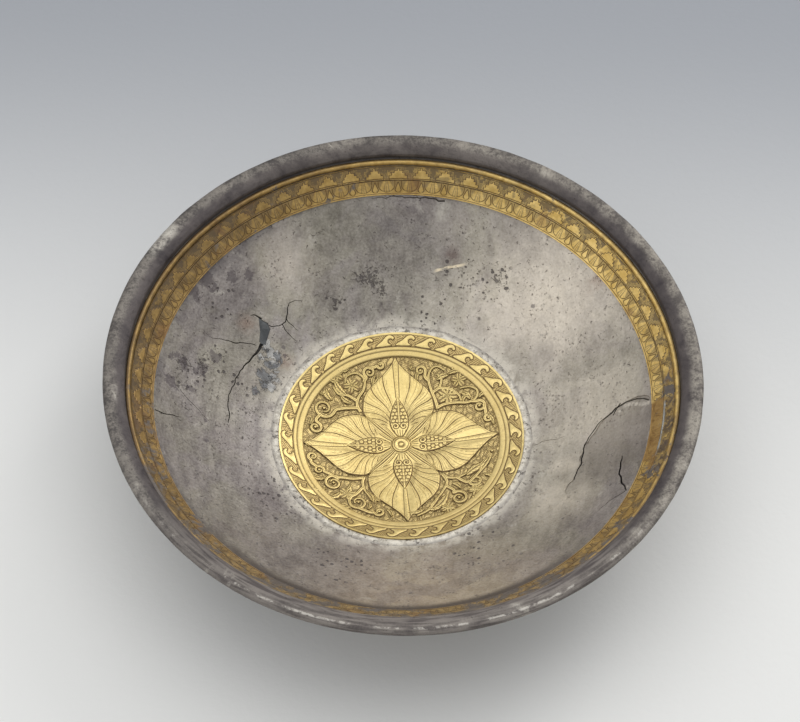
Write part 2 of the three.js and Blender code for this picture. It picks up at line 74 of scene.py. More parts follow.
def make_light(name, place, aim, size, watts, colour=(1, 1, 1)):
    light = bpy.data.lights.new(name, "AREA")
    light.shape = "RECTANGLE"
    light.size, light.size_y = size
    light.energy = watts
    light.color = colour
    holder = bpy.data.objects.new(name, light)
    holder.location = place
    holder.rotation_euler = (Vector(aim) - Vector(place)).to_track_quat("-Z", "Y").to_euler()
    SCENE.collection.objects.link(holder)


make_camera()
make_light("soft_box_above", (-0.05, 0.25, 1.3), (0, 0, 0), (1.7, 1.5), 9.5)
make_light("soft_box_left", (-1.1, -0.2, 0.7), (0, 0, 0.03), (0.9, 0.9), 2)
make_light("soft_box_right", (0.8, 0.9, 0.75), (0.02, 0.0, 0.02), (0.5, 0.9), 6)
SCENE.view_settings.view_transform = "Standard"
SCENE.world = bpy.data.worlds.new("studio")
SCENE.world.use_nodes = True
SCENE.world.node_tree.nodes["Background"].inputs["Color"].default_value = (0.93, 0.96, 1.0, 1)
SCENE.world.node_tree.nodes["Background"].inputs["Strength"].default_value = 0.62


class Field:
    """A value that changes over a surface. Sums and products of fields add their own nodes."""

    def __init__(self, finish, socket):
        self.finish, self.socket = finish, socket

    def math(self, operation, *others):
        values = dict(enumerate((self,) + others))
        return self.finish.node("Math", {"operation": operation}, values)

    def __add__(self, other):
        return self.math("ADD", other)

    def __sub__(self, other):
        return self.math("SUBTRACT", other)

    def __mul__(self, other):
        return self.math("MULTIPLY", other)

    def __truediv__(self, other):
        return self.math("DIVIDE", other)

    def __pow__(self, other):
        return self.math("POWER", other)

    def __neg__(self):
        return self.math("MULTIPLY", -1.0)

    def __abs__(self):
        return self.math("ABSOLUTE")

    def __rsub__(self, other):
        return self.finish.node("Math", {"operation": "SUBTRACT"}, {0: other, 1: self})

    __radd__ = __add__
    __rmul__ = __mul__

    def rises(self, low, high):
        """0 below low and 1 above high, smooth between; falls where low is above high."""
        values = {"Value": self, "From Min": low, "From Max": high}
        settings = {"interpolation_type": "SMOOTHSTEP"}
        return self.finish.node("MapRange", settings, values)

    def fraction(self):
        return self.math("FRACT")

    def channel(self):
        return self.finish.node("SeparateXYZ", values={0: self}, output="X")

    def to_line(self):
        """Distance to the nearest whole number, for patterns that repeat once per unit."""
        return abs((self + 0.5).fraction() - 0.5)


class Finish:
    """A material being mixed: its nodes end in one Principled surface."""

    def __init__(self, name):
        self.material = bpy.data.materials.new(name)
        self.material.use_nodes = True
        self.tree = self.material.node_tree
        self.surface = self.tree.nodes["Principled BSDF"]
        place = self.node("TexCoord", output="Object")
        self.place = place
        self.x = self.node("SeparateXYZ", values={0: place}, output="X")
        self.y = self.node("SeparateXYZ", values={0: place}, output="Y")
        self.z = self.node("SeparateXYZ", values={0: place}, output="Z")

    def node(self, kind, settings=None, values=None, output=0):
        made = self.tree.nodes.new("ShaderNode" + kind)
        for key, value in (settings or {}).items():
            setattr(made, key, value)
        for key, value in (values or {}).items():
            if isinstance(value, Field):
                self.tree.links.new(value.socket, made.inputs[key])
            else:
                made.inputs[key].default_value = value
        return Field(self, made.outputs[output])

    def cloud(self, size, detail=3, rough=0.55, stretch=None, warp=0.0):
        """Soft noise from 0 to 1 with patches of about the given size in metres."""
        place = self.place
        if stretch:
            place = self.node("Mapping", values={"Vector": place, "Scale": stretch})
        values = {"Vector": place, "Scale": 0.5 / size, "Detail": detail, "Roughness": rough}
        return self.node("TexNoise", values=values | {"Distortion": warp}, output="Fac")

    def cells(self, size, kind="F1", place=None):
        """Distance to the nearest of many scattered points, in cells of the given size."""
        values = {"Vector": place or self.place, "Scale": 1 / size}
        return self.node("TexVoronoi", {"feature": kind}, values, output="Distance")

    def blots(self, size, full, place=None):
        """Irregular dots of many sizes, up to the given share of a cell, most of them small."""
        if place is None:
            wobble = self.node("TexNoise", values={"Vector": self.place, "Scale": 1.2 / size, "Detail": 3.0}, output="Color")
            wobble = self.node("VectorMath", {"operation": "SCALE"}, {0: wobble, "Scale": size * 0.45})
            place = self.node("VectorMath", {"operation": "ADD"}, {0: self.place, 1: wobble})
        values = {"Vector": place, "Scale": 1 / size}
        spot = self.tree.nodes.new("ShaderNodeTexVoronoi")
        spot.inputs["Scale"].default_value = 1 / size
        self.tree.links.new(values["Vector"].socket, spot.inputs["Vector"])
        share = self.node("SeparateXYZ", values={0: Field(self, spot.outputs["Color"])}, output="X")
        reach = share * share * full
        return (reach - Field(self, spot.outputs["Distance"])).rises(0.0, 0.12)

    def near(self, x, y, reach, soft=0.5):
        """1 close to a place in plan, falling to 0 at the given reach, all in metres."""
        across, along = self.x - x, self.y - y
        return ((across * across + along * along) ** 0.5).rises(reach, reach * (1 - soft))

    def radius(self):
        return (self.x * self.x + self.y * self.y) ** 0.5

    def turn_share(self):
        """Position round the bowl, from -0.5 to 0.5 of a turn, with 0 to the right."""
        return self.node("Math", {"operation": "ARCTAN2"}, {0: self.y, 1: self.x}) / (2 * math.pi)

    def mix(self, share, first, second, how="MIX"):
        settings = {"data_type": "RGBA", "blend_type": how}
        made = self.tree.nodes.new("ShaderNodeMix")
        for key, value in settings.items():
            setattr(made, key, value)
        for key, value in ((0, share), (6, first), (7, second)):
            if isinstance(value, Field):
                self.tree.links.new(value.socket, made.inputs[key])
            elif key == 0:
                made.inputs[key].default_value = value
            else:
                made.inputs[key].default_value = (*value, 1)
        return Field(self, made.outputs[2])

    def bump(self, height, depth, under=None):
        values = {"Height": height, "Distance": depth, "Strength": 1.0}
        if under:
            values["Normal"] = under
        return self.node("Bump", values=values, output="Normal")

    def uv(self):
        place = self.node("UVMap", {"uv_map": "pattern"}, output="UV")
        u = self.node("SeparateXYZ", values={0: place}, output="X")
        v = self.node("SeparateXYZ", values={0: place}, output="Y")
        return u, v

    def dress(self, colour, roughness, metallic, normal, coat=None):
        for key, value in (("Base Color", colour), ("Roughness", roughness),
                           ("Metallic", metallic), ("Normal", normal)):
            if isinstance(value, Field):
                self.tree.links.new(value.socket, self.surface.inputs[key])
            elif key == "Base Color":
                self.surface.inputs[key].default_value = (*value, 1)
            else:
                self.surface.inputs[key].default_value = value
        return self.material


def floor_finish():
    paper = Finish("floor_paper")
    cloud = paper.cloud(0.12)
    grain = paper.cloud(0.0015)
    # Painted shade: the floor darkens towards the back, standing in for the light falling off there.
    far = paper.y.rises(-0.06, 0.24)
    pale = paper.mix(cloud * 0.5, (0.74, 0.73, 0.7), (0.76, 0.755, 0.73))
    colour = paper.mix(far, pale, (0.28, 0.29, 0.31))
    return paper.dress(colour, 0.85, 0.0, paper.bump(grain, 0.0001))


def make_floor():
    shape = bmesh.new()
    bmesh.ops.create_grid(shape, x_segments=8, y_segments=8, size=4)
    mesh = bpy.data.meshes.new("floor")
    shape.to_mesh(mesh)
    shape.free()
    floor = bpy.data.objects.new("floor", mesh)
    mesh.materials.append(floor_finish())
    SCENE.collection.objects.link(floor)


make_floor()

# The wall is raised from one sheet of silver by hammering. It is a shell between two spheres,
# flat underneath, and its inside carries the dents, pits and tarnish of a long burial.
WALL_THICKNESS = 1.8 * MM
BOWL_DEPTH = 46.9 * MM
LIP_WIDTH = 7.6 * MM
LIP_LEDGE = 0.8 * MM
SEAT_GAP = 0.2 * MM
WALL_TOP_RADIUS = RIM_RADIUS - LIP_WIDTH + LIP_LEDGE
INNER_CURVE = (WALL_TOP_RADIUS**2 + BOWL_DEPTH**2) / (2 * BOWL_DEPTH)
OUTER_CURVE = INNER_CURVE + WALL_THICKNESS
JOINT_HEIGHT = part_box("bowl_wall")[1].z
CENTRE_HEIGHT = JOINT_HEIGHT + INNER_CURVE - BOWL_DEPTH
TOP_ANGLE = math.asin(WALL_TOP_RADIUS / INNER_CURVE)
WALL_TURNS = 360
INNER_STEPS = 140
OUTER_STEPS = 40


def at_angle(angle, rise):
    """A profile point at an angle from the bowl's axis, a given rise above the wall's inner face."""
    reach = INNER_CURVE - rise
    return Vector((reach * math.sin(angle), 0, CENTRE_HEIGHT - reach * math.cos(angle)))


def down_slope(distance, rise):
    return at_angle(TOP_ANGLE - distance / INNER_CURVE, rise)


def on_face(x, y, rise):
    """The point above a place in plan that lies a given rise above the wall's inner face."""
    reach = INNER_CURVE - rise
    return Vector((x, y, CENTRE_HEIGHT - math.sqrt(reach * reach - x * x - y * y)))


def spread(start, end, steps):
    return [start + (end - start) * i / steps for i in range(steps + 1)]


def spin_profile(points, turns, closed=False):
    """A full turn of a profile round the bowl's axis. The profile ends on the axis or joins up."""
    shape = bmesh.new()
    verts = [shape.verts.new(p) for p in points]
    pairs = list(zip(verts, verts[1:])) + ([(verts[-1], verts[0])] if closed else [])
    edges = [shape.edges.new(pair) for pair in pairs]
    bmesh.ops.spin(shape, geom=verts + edges, axis=(0, 0, 1), cent=(0, 0, 0),
                   angle=2 * math.pi, steps=turns, use_merge=True)
    bmesh.ops.remove_doubles(shape, verts=shape.verts, dist=1e-7)
    bmesh.ops.recalc_face_normals(shape, faces=shape.faces)
    return shape


def shown(shape, name, material, nodes, sharp=50):
    """Turns a finished bmesh into a piece that stands for CAD nodes and moves with the bowl."""
    mesh = bpy.data.meshes.new(name)
    shape.to_mesh(mesh)
    shape.free()
    mesh.polygons.foreach_set("use_smooth", [True] * len(mesh.polygons))
    mesh.set_sharp_from_angle(angle=math.radians(sharp))
    mesh.materials.append(material)
    piece = bpy.data.objects.new(name, mesh)
    SCENE.collection.objects.link(piece)
    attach(piece, "root")
    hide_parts(*nodes)
    return piece


def hammer(point):
    """How far an old hammered and dented surface lies from its true curve, in metres."""
    broad = noise.noise(point * 28) * 0.35
    close = noise.noise(point * 90 + Vector((3, 1, 7))) * 0.12
    return (broad + close) * MM


def dent(point, x, y, reach, depth):
    share = math.hypot(point.x - x, point.y - y) / reach
    return depth * math.exp(-2.5 * share * share)


def wall_shape():
    rim_drop = CENTRE_HEIGHT - JOINT_HEIGHT
    foot_angle = math.acos(CENTRE_HEIGHT / OUTER_CURVE)
    outer_top = math.acos(rim_drop / OUTER_CURVE)
    outside = [at_angle(a, -WALL_THICKNESS) for a in spread(foot_angle, outer_top, OUTER_STEPS)]
    inside = [at_angle(a, 0) for a in spread(TOP_ANGLE, 0, INNER_STEPS)]
    shape = spin_profile([Vector((0, 0, 0))] + outside + inside, WALL_TURNS)
    centre = Vector((0, 0, CENTRE_HEIGHT))
    for vert in shape.verts:
        reach = (vert.co - centre).length
        radius = math.hypot(vert.co.x, vert.co.y)
        if vert.co.z < 0.0001 or radius > WALL_TOP_RADIUS - 0.002:
            continue
        wave = hammer(vert.co)
        if reach < INNER_CURVE + WALL_THICKNESS / 2:
            wave *= 0 if radius > FRIEZE_EDGE else min(1, max(0, (radius - MEDALLION_EDGE) / (8 * MM)))
            wave += dent(vert.co, 0.058, -0.013, 0.014, -0.00015)
        else:
            wave = -abs(wave) * 0.8 - 0.0001
        vert.co += (centre - vert.co).normalized() * (wave if reach < INNER_CURVE + MM else -wave)
    return shape


MEDALLION_EDGE = 0.0475
FRIEZE_EDGE = down_slope(15.0 * MM, 0).x


# Pale tarnish patches on the wall; several are painted highlights and reflections, one of them over the shallow dent at
# the right.
CREAM_AND_HIGHLIGHT_ZONES = [
    (0.056, 0.05, 0.06, 1), (0.065, 0.008, 0.045, 0.8), (0.03, 0.05, 0.03, 0.5), (-0.045, 0.062, 0.02, 0.6),
    (0.0585, -0.0145, 0.011, 0.9), (0.056, -0.03, 0.022, 0.75), (0.012, 0.055, 0.014, 0.3), (0.02, 0.082, 0.02, 0.35), (-0.045, -0.05, 0.02, 0.25),
]
DARK_ZONES = [
    (0.0, 0.076, 0.03, 0.55), (-0.07, -0.01, 0.04, 0.4), (-0.045, -0.06, 0.05, 0.62), (0.078, -0.022, 0.017, 0.45),
    (-0.026, 0.054, 0.012, 0.4), (0.045, 0.035, 0.012, 0.25), (0.062, -0.047, 0.02, 0.3), (-0.055, 0.03, 0.016, 0.3),
]
PIT_ZONES = [
    (-0.069, 0.0415, 0.009), (-0.064, 0.043, 0.007), (-0.0715, 0.0145, 0.009), (-0.079, 0.01, 0.009),
    (-0.068, 0.022, 0.007), (-0.063, 0.012, 0.01), (0.033, 0.061, 0.009), (0.0095, 0.0535, 0.009),
    (-0.0262, 0.054, 0.006), (-0.043, -0.032, 0.016), (-0.02, -0.06, 0.016), (0.03, -0.05, 0.016), (0.02, 0.066, 0.01),
]
NETWORK_ZONES = [(-0.0135, 0.063, 0.007), (-0.0172, 0.0625, 0.005), (-0.0105, 0.0605, 0.006), (0.034, 0.0615, 0.005),
                 (-0.0262, 0.0535, 0.004), (-0.079, 0.0145, 0.005), (-0.0725, 0.0165, 0.004)]
BLOTCHES = [
    (-0.0445, 0.0335, 0.0022), (-0.0437, 0.0305, 0.0015), (-0.0535, 0.0135, 0.0028), (-0.0686, 0.0224, 0.004),
    (-0.0724, 0.0156, 0.0045), (-0.0803, 0.0147, 0.005), (-0.0828, 0.0052, 0.006), (-0.0755, 0.006, 0.004),
    (-0.0751, 0.0136, 0.003), (-0.0703, -0.0051, 0.002), (-0.073, 0.047, 0.006), (-0.077, 0.041, 0.006),
    (-0.0695, -0.0139, 0.0018), (-0.064, 0.052, 0.004), (-0.058, 0.055, 0.003), (0.047, 0.0505, 0.0012),
]
CORROSION = [
    (-0.0497, 0.0262, 0.0048), (-0.0505, 0.0215, 0.0042), (-0.0512, 0.0172, 0.0036), (-0.0462, 0.0288, 0.0034),
    (-0.0535, 0.0142, 0.0034), (-0.0512, 0.031, 0.0028),
]
# Places on the set-back fragment where a pale painted highlight marks its raised edge.
LIFTED_EDGE_HIGHLIGHT = [
    (0.0868, 0.0002, 0.0016), (0.0856, 0.0006, 0.0014), (0.0844, 0.0011, 0.0013), (0.0832, 0.0017, 0.0013),
    (0.082, 0.0023, 0.0013), (0.0808, 0.0027, 0.0013), (0.0796, 0.0028, 0.0012), (0.0776, 0.0014, 0.001),
    (0.0789, -0.0348, 0.001),
]
PALE_CRUST = [
    (-0.0505, 0.0318, 0.004), (-0.0484, 0.03, 0.0042), (-0.0478, 0.0262, 0.0036), (-0.0472, 0.0215, 0.0044),
    (-0.0488, 0.017, 0.004), (-0.0525, 0.0275, 0.0028),
]


def zones(silver, places, soft=1):
    """The strongest of several soft round zones, each given by its place, reach and strength."""
    found = None
    for x, y, reach, *share in places:
        zone = silver.near(x, y, reach, soft) * (share[0] if share else 1.0)
        found = zone if found is None else found.math("MAXIMUM", zone)
    return found


def ragged(silver, places, size, share=0.5):
    """Soft zones filled with ragged patches of the given size; share says how much of each is filled."""
    noise = silver.cloud(size, 6, 0.75, warp=0.8)
    zone = zones(silver, places)
    return (noise + zone * 0.2).rises(0.66 - share * 0.1, 0.7 - share * 0.1) * zone.rises(0.0, 0.25)


def silver_finish(name="old_silver", shade=1.0):
    silver = Finish(name)
    broad = silver.cloud(0.03, 4, 0.55, warp=0.8)
    middle = silver.cloud(0.008, 6, 0.62, warp=0.7)
    small = silver.cloud(0.0035, 5, 0.65, warp=0.4)
    fine = silver.cloud(0.0012, 5, 0.7)
    grain = silver.cloud(0.00045, 3, 0.6)
    rub = silver.cloud(0.0022, 4, 0.6, stretch=(1, 0.18, 1))
    radius = silver.radius()
    light = (broad * 0.34 + middle * 0.4 + small * 0.26).rises(0.36, 0.64)
    hue = silver.cloud(0.018, 4, 0.6, warp=0.5).rises(0.42, 0.58)
    deep = silver.mix(hue, (0.12, 0.098, 0.094), (0.135, 0.118, 0.09))
    pale = silver.mix(hue, (0.32, 0.285, 0.265), (0.345, 0.315, 0.25))
    colour = silver.mix(light, deep, pale)
    # Pale tarnish in patches, partly painted highlights and reflections; these places are also made a little smoother.
    cream_and_highlight = zones(silver, CREAM_AND_HIGHLIGHT_ZONES)
    colour = silver.mix(cream_and_highlight * (0.5 + light * 0.5), colour, (0.76, 0.67, 0.54))
    warm = silver.near(0.012, -0.078, 0.062, 1)
    colour = silver.mix(warm * 0.7, colour, (0.44, 0.34, 0.235))
    colour = silver.mix(zones(silver, DARK_ZONES), colour, (0.115, 0.095, 0.09))
    purple = silver.cloud(0.014, 5, 0.6, warp=0.9).rises(0.52, 0.64) * (1 - cream_and_highlight * 0.6)
    colour = silver.mix(purple * 0.42, colour, (0.15, 0.12, 0.118))
    smudge = (middle * 0.4 + fine * 0.3 + small * 0.3).rises(0.55, 0.64)
    colour = silver.mix(smudge * 0.5, colour, (0.1, 0.082, 0.076))
    bleach = silver.cloud(0.004, 6, 0.7, warp=0.5).rises(0.58, 0.7)
    colour = silver.mix(bleach * 0.4, colour, (0.55, 0.51, 0.44))
    streak = rub.rises(0.35, 0.65)
    colour = silver.mix(0.14, colour, silver.mix(streak, (0.08, 0.07, 0.062), (0.62, 0.57, 0.5)))
    salt = grain.rises(0.35, 0.65)
    colour = silver.mix(0.1, colour, silver.mix(salt, (0.05, 0.045, 0.04), (0.7, 0.66, 0.6)))
    shadowed = (radius + (middle - 0.5) * 3 * MM).rises(0.0825, 0.0862) * silver.y.rises(-0.045, -0.08)
    colour = silver.mix(shadowed * 0.9, colour, (0.062, 0.05, 0.048))
    halo = (radius + (middle - 0.5) * 8 * MM).rises(0.0525, 0.0475) * (small * 0.6 + fine * 0.4).rises(0.38, 0.55)
    colour = silver.mix(halo * 0.75, colour, (0.68, 0.63, 0.54))
    rusty = zones(silver, [(-0.0437, 0.0282, 0.006), (-0.058, 0.0385, 0.006), (0.07, 0.053, 0.008)]) * small.rises(0.4, 0.6)
    colour = silver.mix(rusty * 0.5, colour, (0.22, 0.135, 0.1))
    speck = silver.cloud(0.0006, 3, 0.7, warp=0.8)
    network = (speck * 0.8 + small * 0.2 + zones(silver, NETWORK_ZONES) * 0.13).rises(0.6, 0.68)
    near_pits = zones(silver, PIT_ZONES, 0.8).rises(0.1, 0.5)
    dots = silver.blots(0.0017, 0.5) * near_pits
    sparse = silver.blots(0.0075, 0.16) * fine.rises(0.3, 0.5)
    freckles = silver.blots(0.0011, 0.5) * middle.rises(0.53, 0.62) * 0.55
    pits = dots.math("MAXIMUM", network * 0.85).math("MAXIMUM", sparse * 0.9).math("MAXIMUM", freckles)
    colour = silver.mix(pits * 0.8, colour, (0.055, 0.045, 0.045))
    lift = silver.y - 0.0662 - (silver.x - 0.011) * 0.15 + (small - 0.5) * 1.5 * MM
    scar = abs(lift).rises(0.6 * MM, 0.2 * MM) * silver.x.rises(0.0095, 0.012) * silver.x.rises(0.0235, 0.019)
    scar = scar * fine.rises(0.35, 0.5)
    stain = silver.near(0.0165, 0.07, 0.0055, 1) * small.rises(0.35, 0.6)
    colour = silver.mix(stain * 0.8, colour, (0.09, 0.05, 0.042))
    colour = silver.mix(scar * 0.9, colour, (0.8, 0.68, 0.48))
    bared = silver.near(0.0125, 0.084, 0.0045, 1) * rub.rises(0.35, 0.6)
    colour = silver.mix(bared * 0.7, colour, (0.62, 0.58, 0.5))
    beside = silver.radius().rises(0.0845, 0.0885) * silver.x.rises(0.0, -0.05) * middle.rises(0.44, 0.58)
    colour = silver.mix(beside * 0.6, colour, (0.06, 0.052, 0.058))
    crust = ragged(silver, PALE_CRUST, 0.0024, 0.7)
    colour = silver.mix(crust * 0.6, colour, silver.mix(fine.rises(0.4, 0.6), (0.26, 0.265, 0.27), (0.5, 0.5, 0.49)))
    eaten = ragged(silver, CORROSION, 0.0028, 0.7)
    colour = silver.mix(eaten * 0.8, colour, silver.mix(fine.rises(0.4, 0.6), (0.06, 0.062, 0.07), (0.16, 0.165, 0.17)))
    blotch = ragged(silver, BLOTCHES, 0.0026, 0.6)
    colour = silver.mix(blotch * 0.6, colour, (0.07, 0.055, 0.06))
    down = silver.z - CENTRE_HEIGHT
    depth = (down * down + radius * radius) ** 0.5 - INNER_CURVE
    # Painted shade: where the wall runs in under the lip its top is darkened almost to black.
    under_lip_shade = radius.rises(WALL_TOP_RADIUS - 0.9 * MM, WALL_TOP_RADIUS - 0.6 * MM) * depth.rises(0.8 * MM, 0.4 * MM)
    colour = silver.mix(under_lip_shade * 0.85, colour, (0.035, 0.028, 0.025))
    # Painted shade: the fragment is darkened, less so towards its lower end, to stand in for the tilt that turns it
    # from the light.
    if shade < 1:
        colour = silver.mix((1 - shade) * silver.y.rises(-0.034, -0.018), colour, (0.13, 0.105, 0.09))
        # Painted highlight: a pale ragged line along the fragment's raised upper edge.
        lifted_edge_highlight = zones(silver, LIFTED_EDGE_HIGHLIGHT).rises(0.1, 0.8) * (fine * 0.5 + small * 0.5).rises(0.4, 0.56)
        colour = silver.mix(lifted_edge_highlight * 0.7, colour, (0.66, 0.6, 0.51))
    # Painted shade: deeper than the wall's inner face, on the sides and floors of the cracks, the silver is darkened
    # almost to black.
    inside = depth.rises(0.65 * MM, 0.95 * MM) * depth.rises(1.6 * MM, 1.5 * MM)
    colour = silver.mix(inside * 0.95, colour, (0.02, 0.016, 0.015))
    height = light * 0.3 - pits * 1.0 + fine * 0.45 + crust * 0.6 - eaten * 0.6
    normal = silver.bump(height, 0.0003)
    normal = silver.bump(grain, 0.00005, normal)
    roughness = 0.42 + fine * 0.2 - cream_and_highlight * 0.1 + pits * 0.3 + halo * 0.2
    return silver.dress(colour, roughness, 0.45 - pits * 0.3 - eaten * 0.3, normal)


SILVER = silver_finish()
wall = shown(wall_shape(), "silver_wall", SILVER, ["bowl_wall"], 38)

# A piece broken out at the right was set back a little low, and a small loss at the left was filled.
# Both are cut from the wall along the same outline, so their edges follow the break.
CRACK_WIDTH = 0.45 * MM
FRAGMENT_SINK = 0.4 * MM
FRAGMENT_EDGE = down_slope(14.8 * MM, 0).x
FRAGMENT_CORNERS = [
    (0.6, 1.2), (7.1, 3), (14.6, 0.6), (20.2, -5.2), (22.5, -11.4), (22.1, -18.4),
    (23.5, -24.7), (18, -30), (9, -33), (0.6, -31.5), (0.6, -23), (0.6, -14), (0.6, -6),
]
LOSS_PLACE = (FRAGMENT_EDGE * (1 - 0.273), math.radians(143.9))
LOSS_CORNERS = [(-3.6, 1.9), (-2.7, -1.2), (-0.9, -2.1), (5.2, -0.6), (4.7, 1.3), (0.9, 1)]


def polar(radius, degrees):
    angle = math.radians(degrees)
    return Vector((radius * math.cos(angle), radius * math.sin(angle)))


def smooth_path(points, steps, closed=False):
    """Points of a smooth curve through a few points of the plan."""
    count = len(points)
    path = []
    for k in range(count if closed else count - 1):
        near = [points[(k + i) % count] if closed else points[min(max(k + i, 0), count - 1)]
                for i in (-1, 0, 1, 2)]
        p0, p1, p2, p3 = (Vector(p) for p in near)
        for i in range(steps):
            t = i / steps
            path.append(p1 + 0.5 * t * (p2 - p0 + t * (2 * p0 - 5 * p1 + 4 * p2 - p3
                                                       + t * (3 * (p1 - p2) + p3 - p0))))
    return path if closed else path + [Vector(points[-1])]


def slab(outline, low, high):
    """A closed body over a plan outline, between two rises above the wall's inner face."""
    shape = bmesh.new()
    base = shape.faces.new([shape.verts.new(on_face(p.x, p.y, low)) for p in outline])
    top = bmesh.ops.extrude_face_region(shape, geom=[base])["geom"]
    for vert in (v for v in top if isinstance(v, bmesh.types.BMVert)):
        vert.co = on_face(vert.co.x, vert.co.y, high)
    bmesh.ops.triangulate(shape, faces=[f for f in shape.faces if len(f.verts) > 4])
    bmesh.ops.recalc_face_normals(shape, faces=shape.faces)
    return shape


def shifted(outline, distance):
    """An outline moved outwards by a distance."""
    count = len(outline)
    area = sum(outline[i - 1].cross(outline[i]) for i in range(count))
    moved = []
    for i, point in enumerate(outline):
        along = (outline[(i + 1) % count] - outline[i - 1]).normalized()
        moved.append(point + math.copysign(distance, area) * Vector((along.y, -along.x)))
    return moved


def jagged(outline, size):
    """Small steps along a break, always the same ones."""
    return [p + size * Vector((noise.noise(Vector((p.x, p.y, 0)) * 400),
                               noise.noise(Vector((p.y, p.x, 9)) * 400))) for p in outline]


def carve(target, cutter_shape, how):
    """Cuts a piece by a body, or keeps only what lies inside it."""
    mesh = bpy.data.meshes.new("cutter")
    cutter_shape.to_mesh(mesh)
    cutter_shape.free()
    cutter = bpy.data.objects.new("cutter", mesh)
    SCENE.collection.objects.link(cutter)
    cut = target.modifiers.new("cut", "BOOLEAN")
    cut.object = cutter
    cut.operation = how
    cut.solver = "EXACT"
    result = bpy.data.meshes.new_from_object(target.evaluated_get(bpy.context.evaluated_depsgraph_get()))
    target.modifiers.clear()
    bpy.data.objects.remove(cutter)
    result.name = target.name
    target.data = result
    target.data.polygons.foreach_set("use_smooth", [True] * len(target.data.polygons))
    target.data.set_sharp_from_angle(angle=math.radians(38))


def twin(piece, name, nodes):
    """A second piece cut from the same sheet."""
    copy = bpy.data.objects.new(name, piece.data.copy())
    SCENE.collection.objects.link(copy)
    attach(copy, "root")
    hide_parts(*nodes)
    return copy


def crack(path, widths, depth):
    """An open crack: a narrow wedge along a jagged path, widest where its widths say."""
    spine = jagged(smooth_path(path, 5), 0.0007)
    count = len(spine)
    left, right = [], []
    for i, point in enumerate(spine):
        share = i / (count - 1) * (len(widths) - 1)
        k = min(int(share), len(widths) - 2)
        wide = (widths[k] + (widths[k + 1] - widths[k]) * (share - k)) * MM / 2
        along = (spine[min(i + 1, count - 1)] - spine[max(i - 1, 0)]).normalized()
        side = Vector((-along.y, along.x)) * wide
        left.append(point + side)
        right.append(point - side)
    return slab(left + right[::-1], -depth, 3 * MM)


def plan(points):
    return [Vector(p) * MM for p in points]


fragment_outline = jagged(smooth_path([polar(FRAGMENT_EDGE - d * MM, a) for d, a in FRAGMENT_CORNERS], 10, True), 0.0006)
loss_centre = polar(*LOSS_PLACE[:1], math.degrees(LOSS_PLACE[1]))
loss_outline = jagged([loss_centre + Vector((-across, -down)) * MM for down, across in LOSS_CORNERS], 0.0003)
THROUGH = (-WALL_THICKNESS - 2 * MM, 4 * MM)
fragment = twin(wall, "mended_piece", ["mended_fragment"])
carve(fragment, slab(shifted(fragment_outline, -CRACK_WIDTH / 2), *THROUGH), "INTERSECT")
fragment.data.materials.clear()
fragment.data.materials.append(silver_finish("fragment_silver", 0.62))
for vert in fragment.data.vertices:
    vert.co.z -= FRAGMENT_SINK
fill = twin(wall, "loss_filling", ["loss_fill"])
carve(fill, slab(shifted(loss_outline, -CRACK_WIDTH / 3), *THROUGH), "INTERSECT")
for vert in fill.data.vertices:
    vert.co.z -= 0.3 * MM
carve(wall, slab(shifted(fragment_outline, CRACK_WIDTH / 2), *THROUGH), "DIFFERENCE")
carve(wall, slab(shifted(loss_outline, CRACK_WIDTH / 2), *THROUGH), "DIFFERENCE")
# Each crack: its path in plan, its width along the path and its depth, in millimetres
WALL_CRACKS = [
    ([(-52.2, 33), (-53.4, 29.6), (-55.6, 26.6), (-58.6, 21.4), (-60.4, 17), (-62.2, 11), (-63, 5), (-62.2, 1), (-62.4, -3)],
     [1.3, 0.9, 0.55, 0.4, 0.34, 0.3, 0.4, 0.25], 1.3),
    ([(-50.2, 40), (-46.6, 40.8), (-44.6, 42.4), (-43.4, 45.6), (-43.6, 48.4), (-41.6, 50.8), (-38, 52)],
     [0.35, 0.3, 0.42, 0.34, 0.24, 0.12], 1.1),
    ([(-43.8, 44.4), (-41.6, 41.6), (-39, 40.6)], [0.3, 0.26, 0.1], 1.0),
    ([(-45.2, 41.6), (-44, 39.6), (-41.8, 38.2), (-40, 36.8)], [0.36, 0.3, 0.28, 0.12], 1.0),
    ([(-54.4, 31.2), (-58, 31.2), (-62, 29.8), (-65, 29.6), (-69.6, 28.7), (-72, 29.4)], [0.25, 0.35, 0.42, 0.3, 0.16, 0.08], 0.9),
    ([(-53, 41.2), (-55, 42), (-56.6, 41.6)], [0.8, 0.45, 0.15], 1.0),
    ([(-87, -10.3), (-83.6, -9.9), (-81, -8.8), (-78.3, -8.2)], [0.5, 0.45, 0.35, 0.12], 0.9),
    ([(-82, 5), (-76, 0.4), (-69, -5)], [0.1, 0.2, 0.1], 0.5),
    ([(48, -3.6), (51.9, -2.4), (55.4, -2.6), (59.2, -2.2)], [0.14, 0.24, 0.18, 0.08], 0.5),
    ([(-14, 86.6), (-7, 87.4), (0, 87.7), (7, 87.4), (13, 86.7)], [0.15, 0.3, 0.35, 0.6], 0.9),
]
BREAK_CRACKS = [
    ([(87.6, 1.4), (84.2, 3.4), (80.4, 4.2), (76.1, 2.6), (70, -1.6), (65.8, -8.6), (64.4, -15.3), (61.6, -22.5)],
     [0.5, 0.5, 0.45, 0.5, 0.4, 0.4, 0.45, 0.25], 1.35),
    ([(78, 4.6), (76.6, 2.6), (75.6, 0.6)], [0.3, 0.5, 0.15], 1.2),
    ([(78.2, -18.5), (77.4, -22), (77, -27), (77.6, -32), (78.8, -36.6)], [0.2, 0.5, 0.55, 0.65, 0.35], 1.3),
    ([(78.8, -36.6), (74, -38.6), (69.4, -41.6)], [0.34, 0.24, 0.1], 1.0),
]
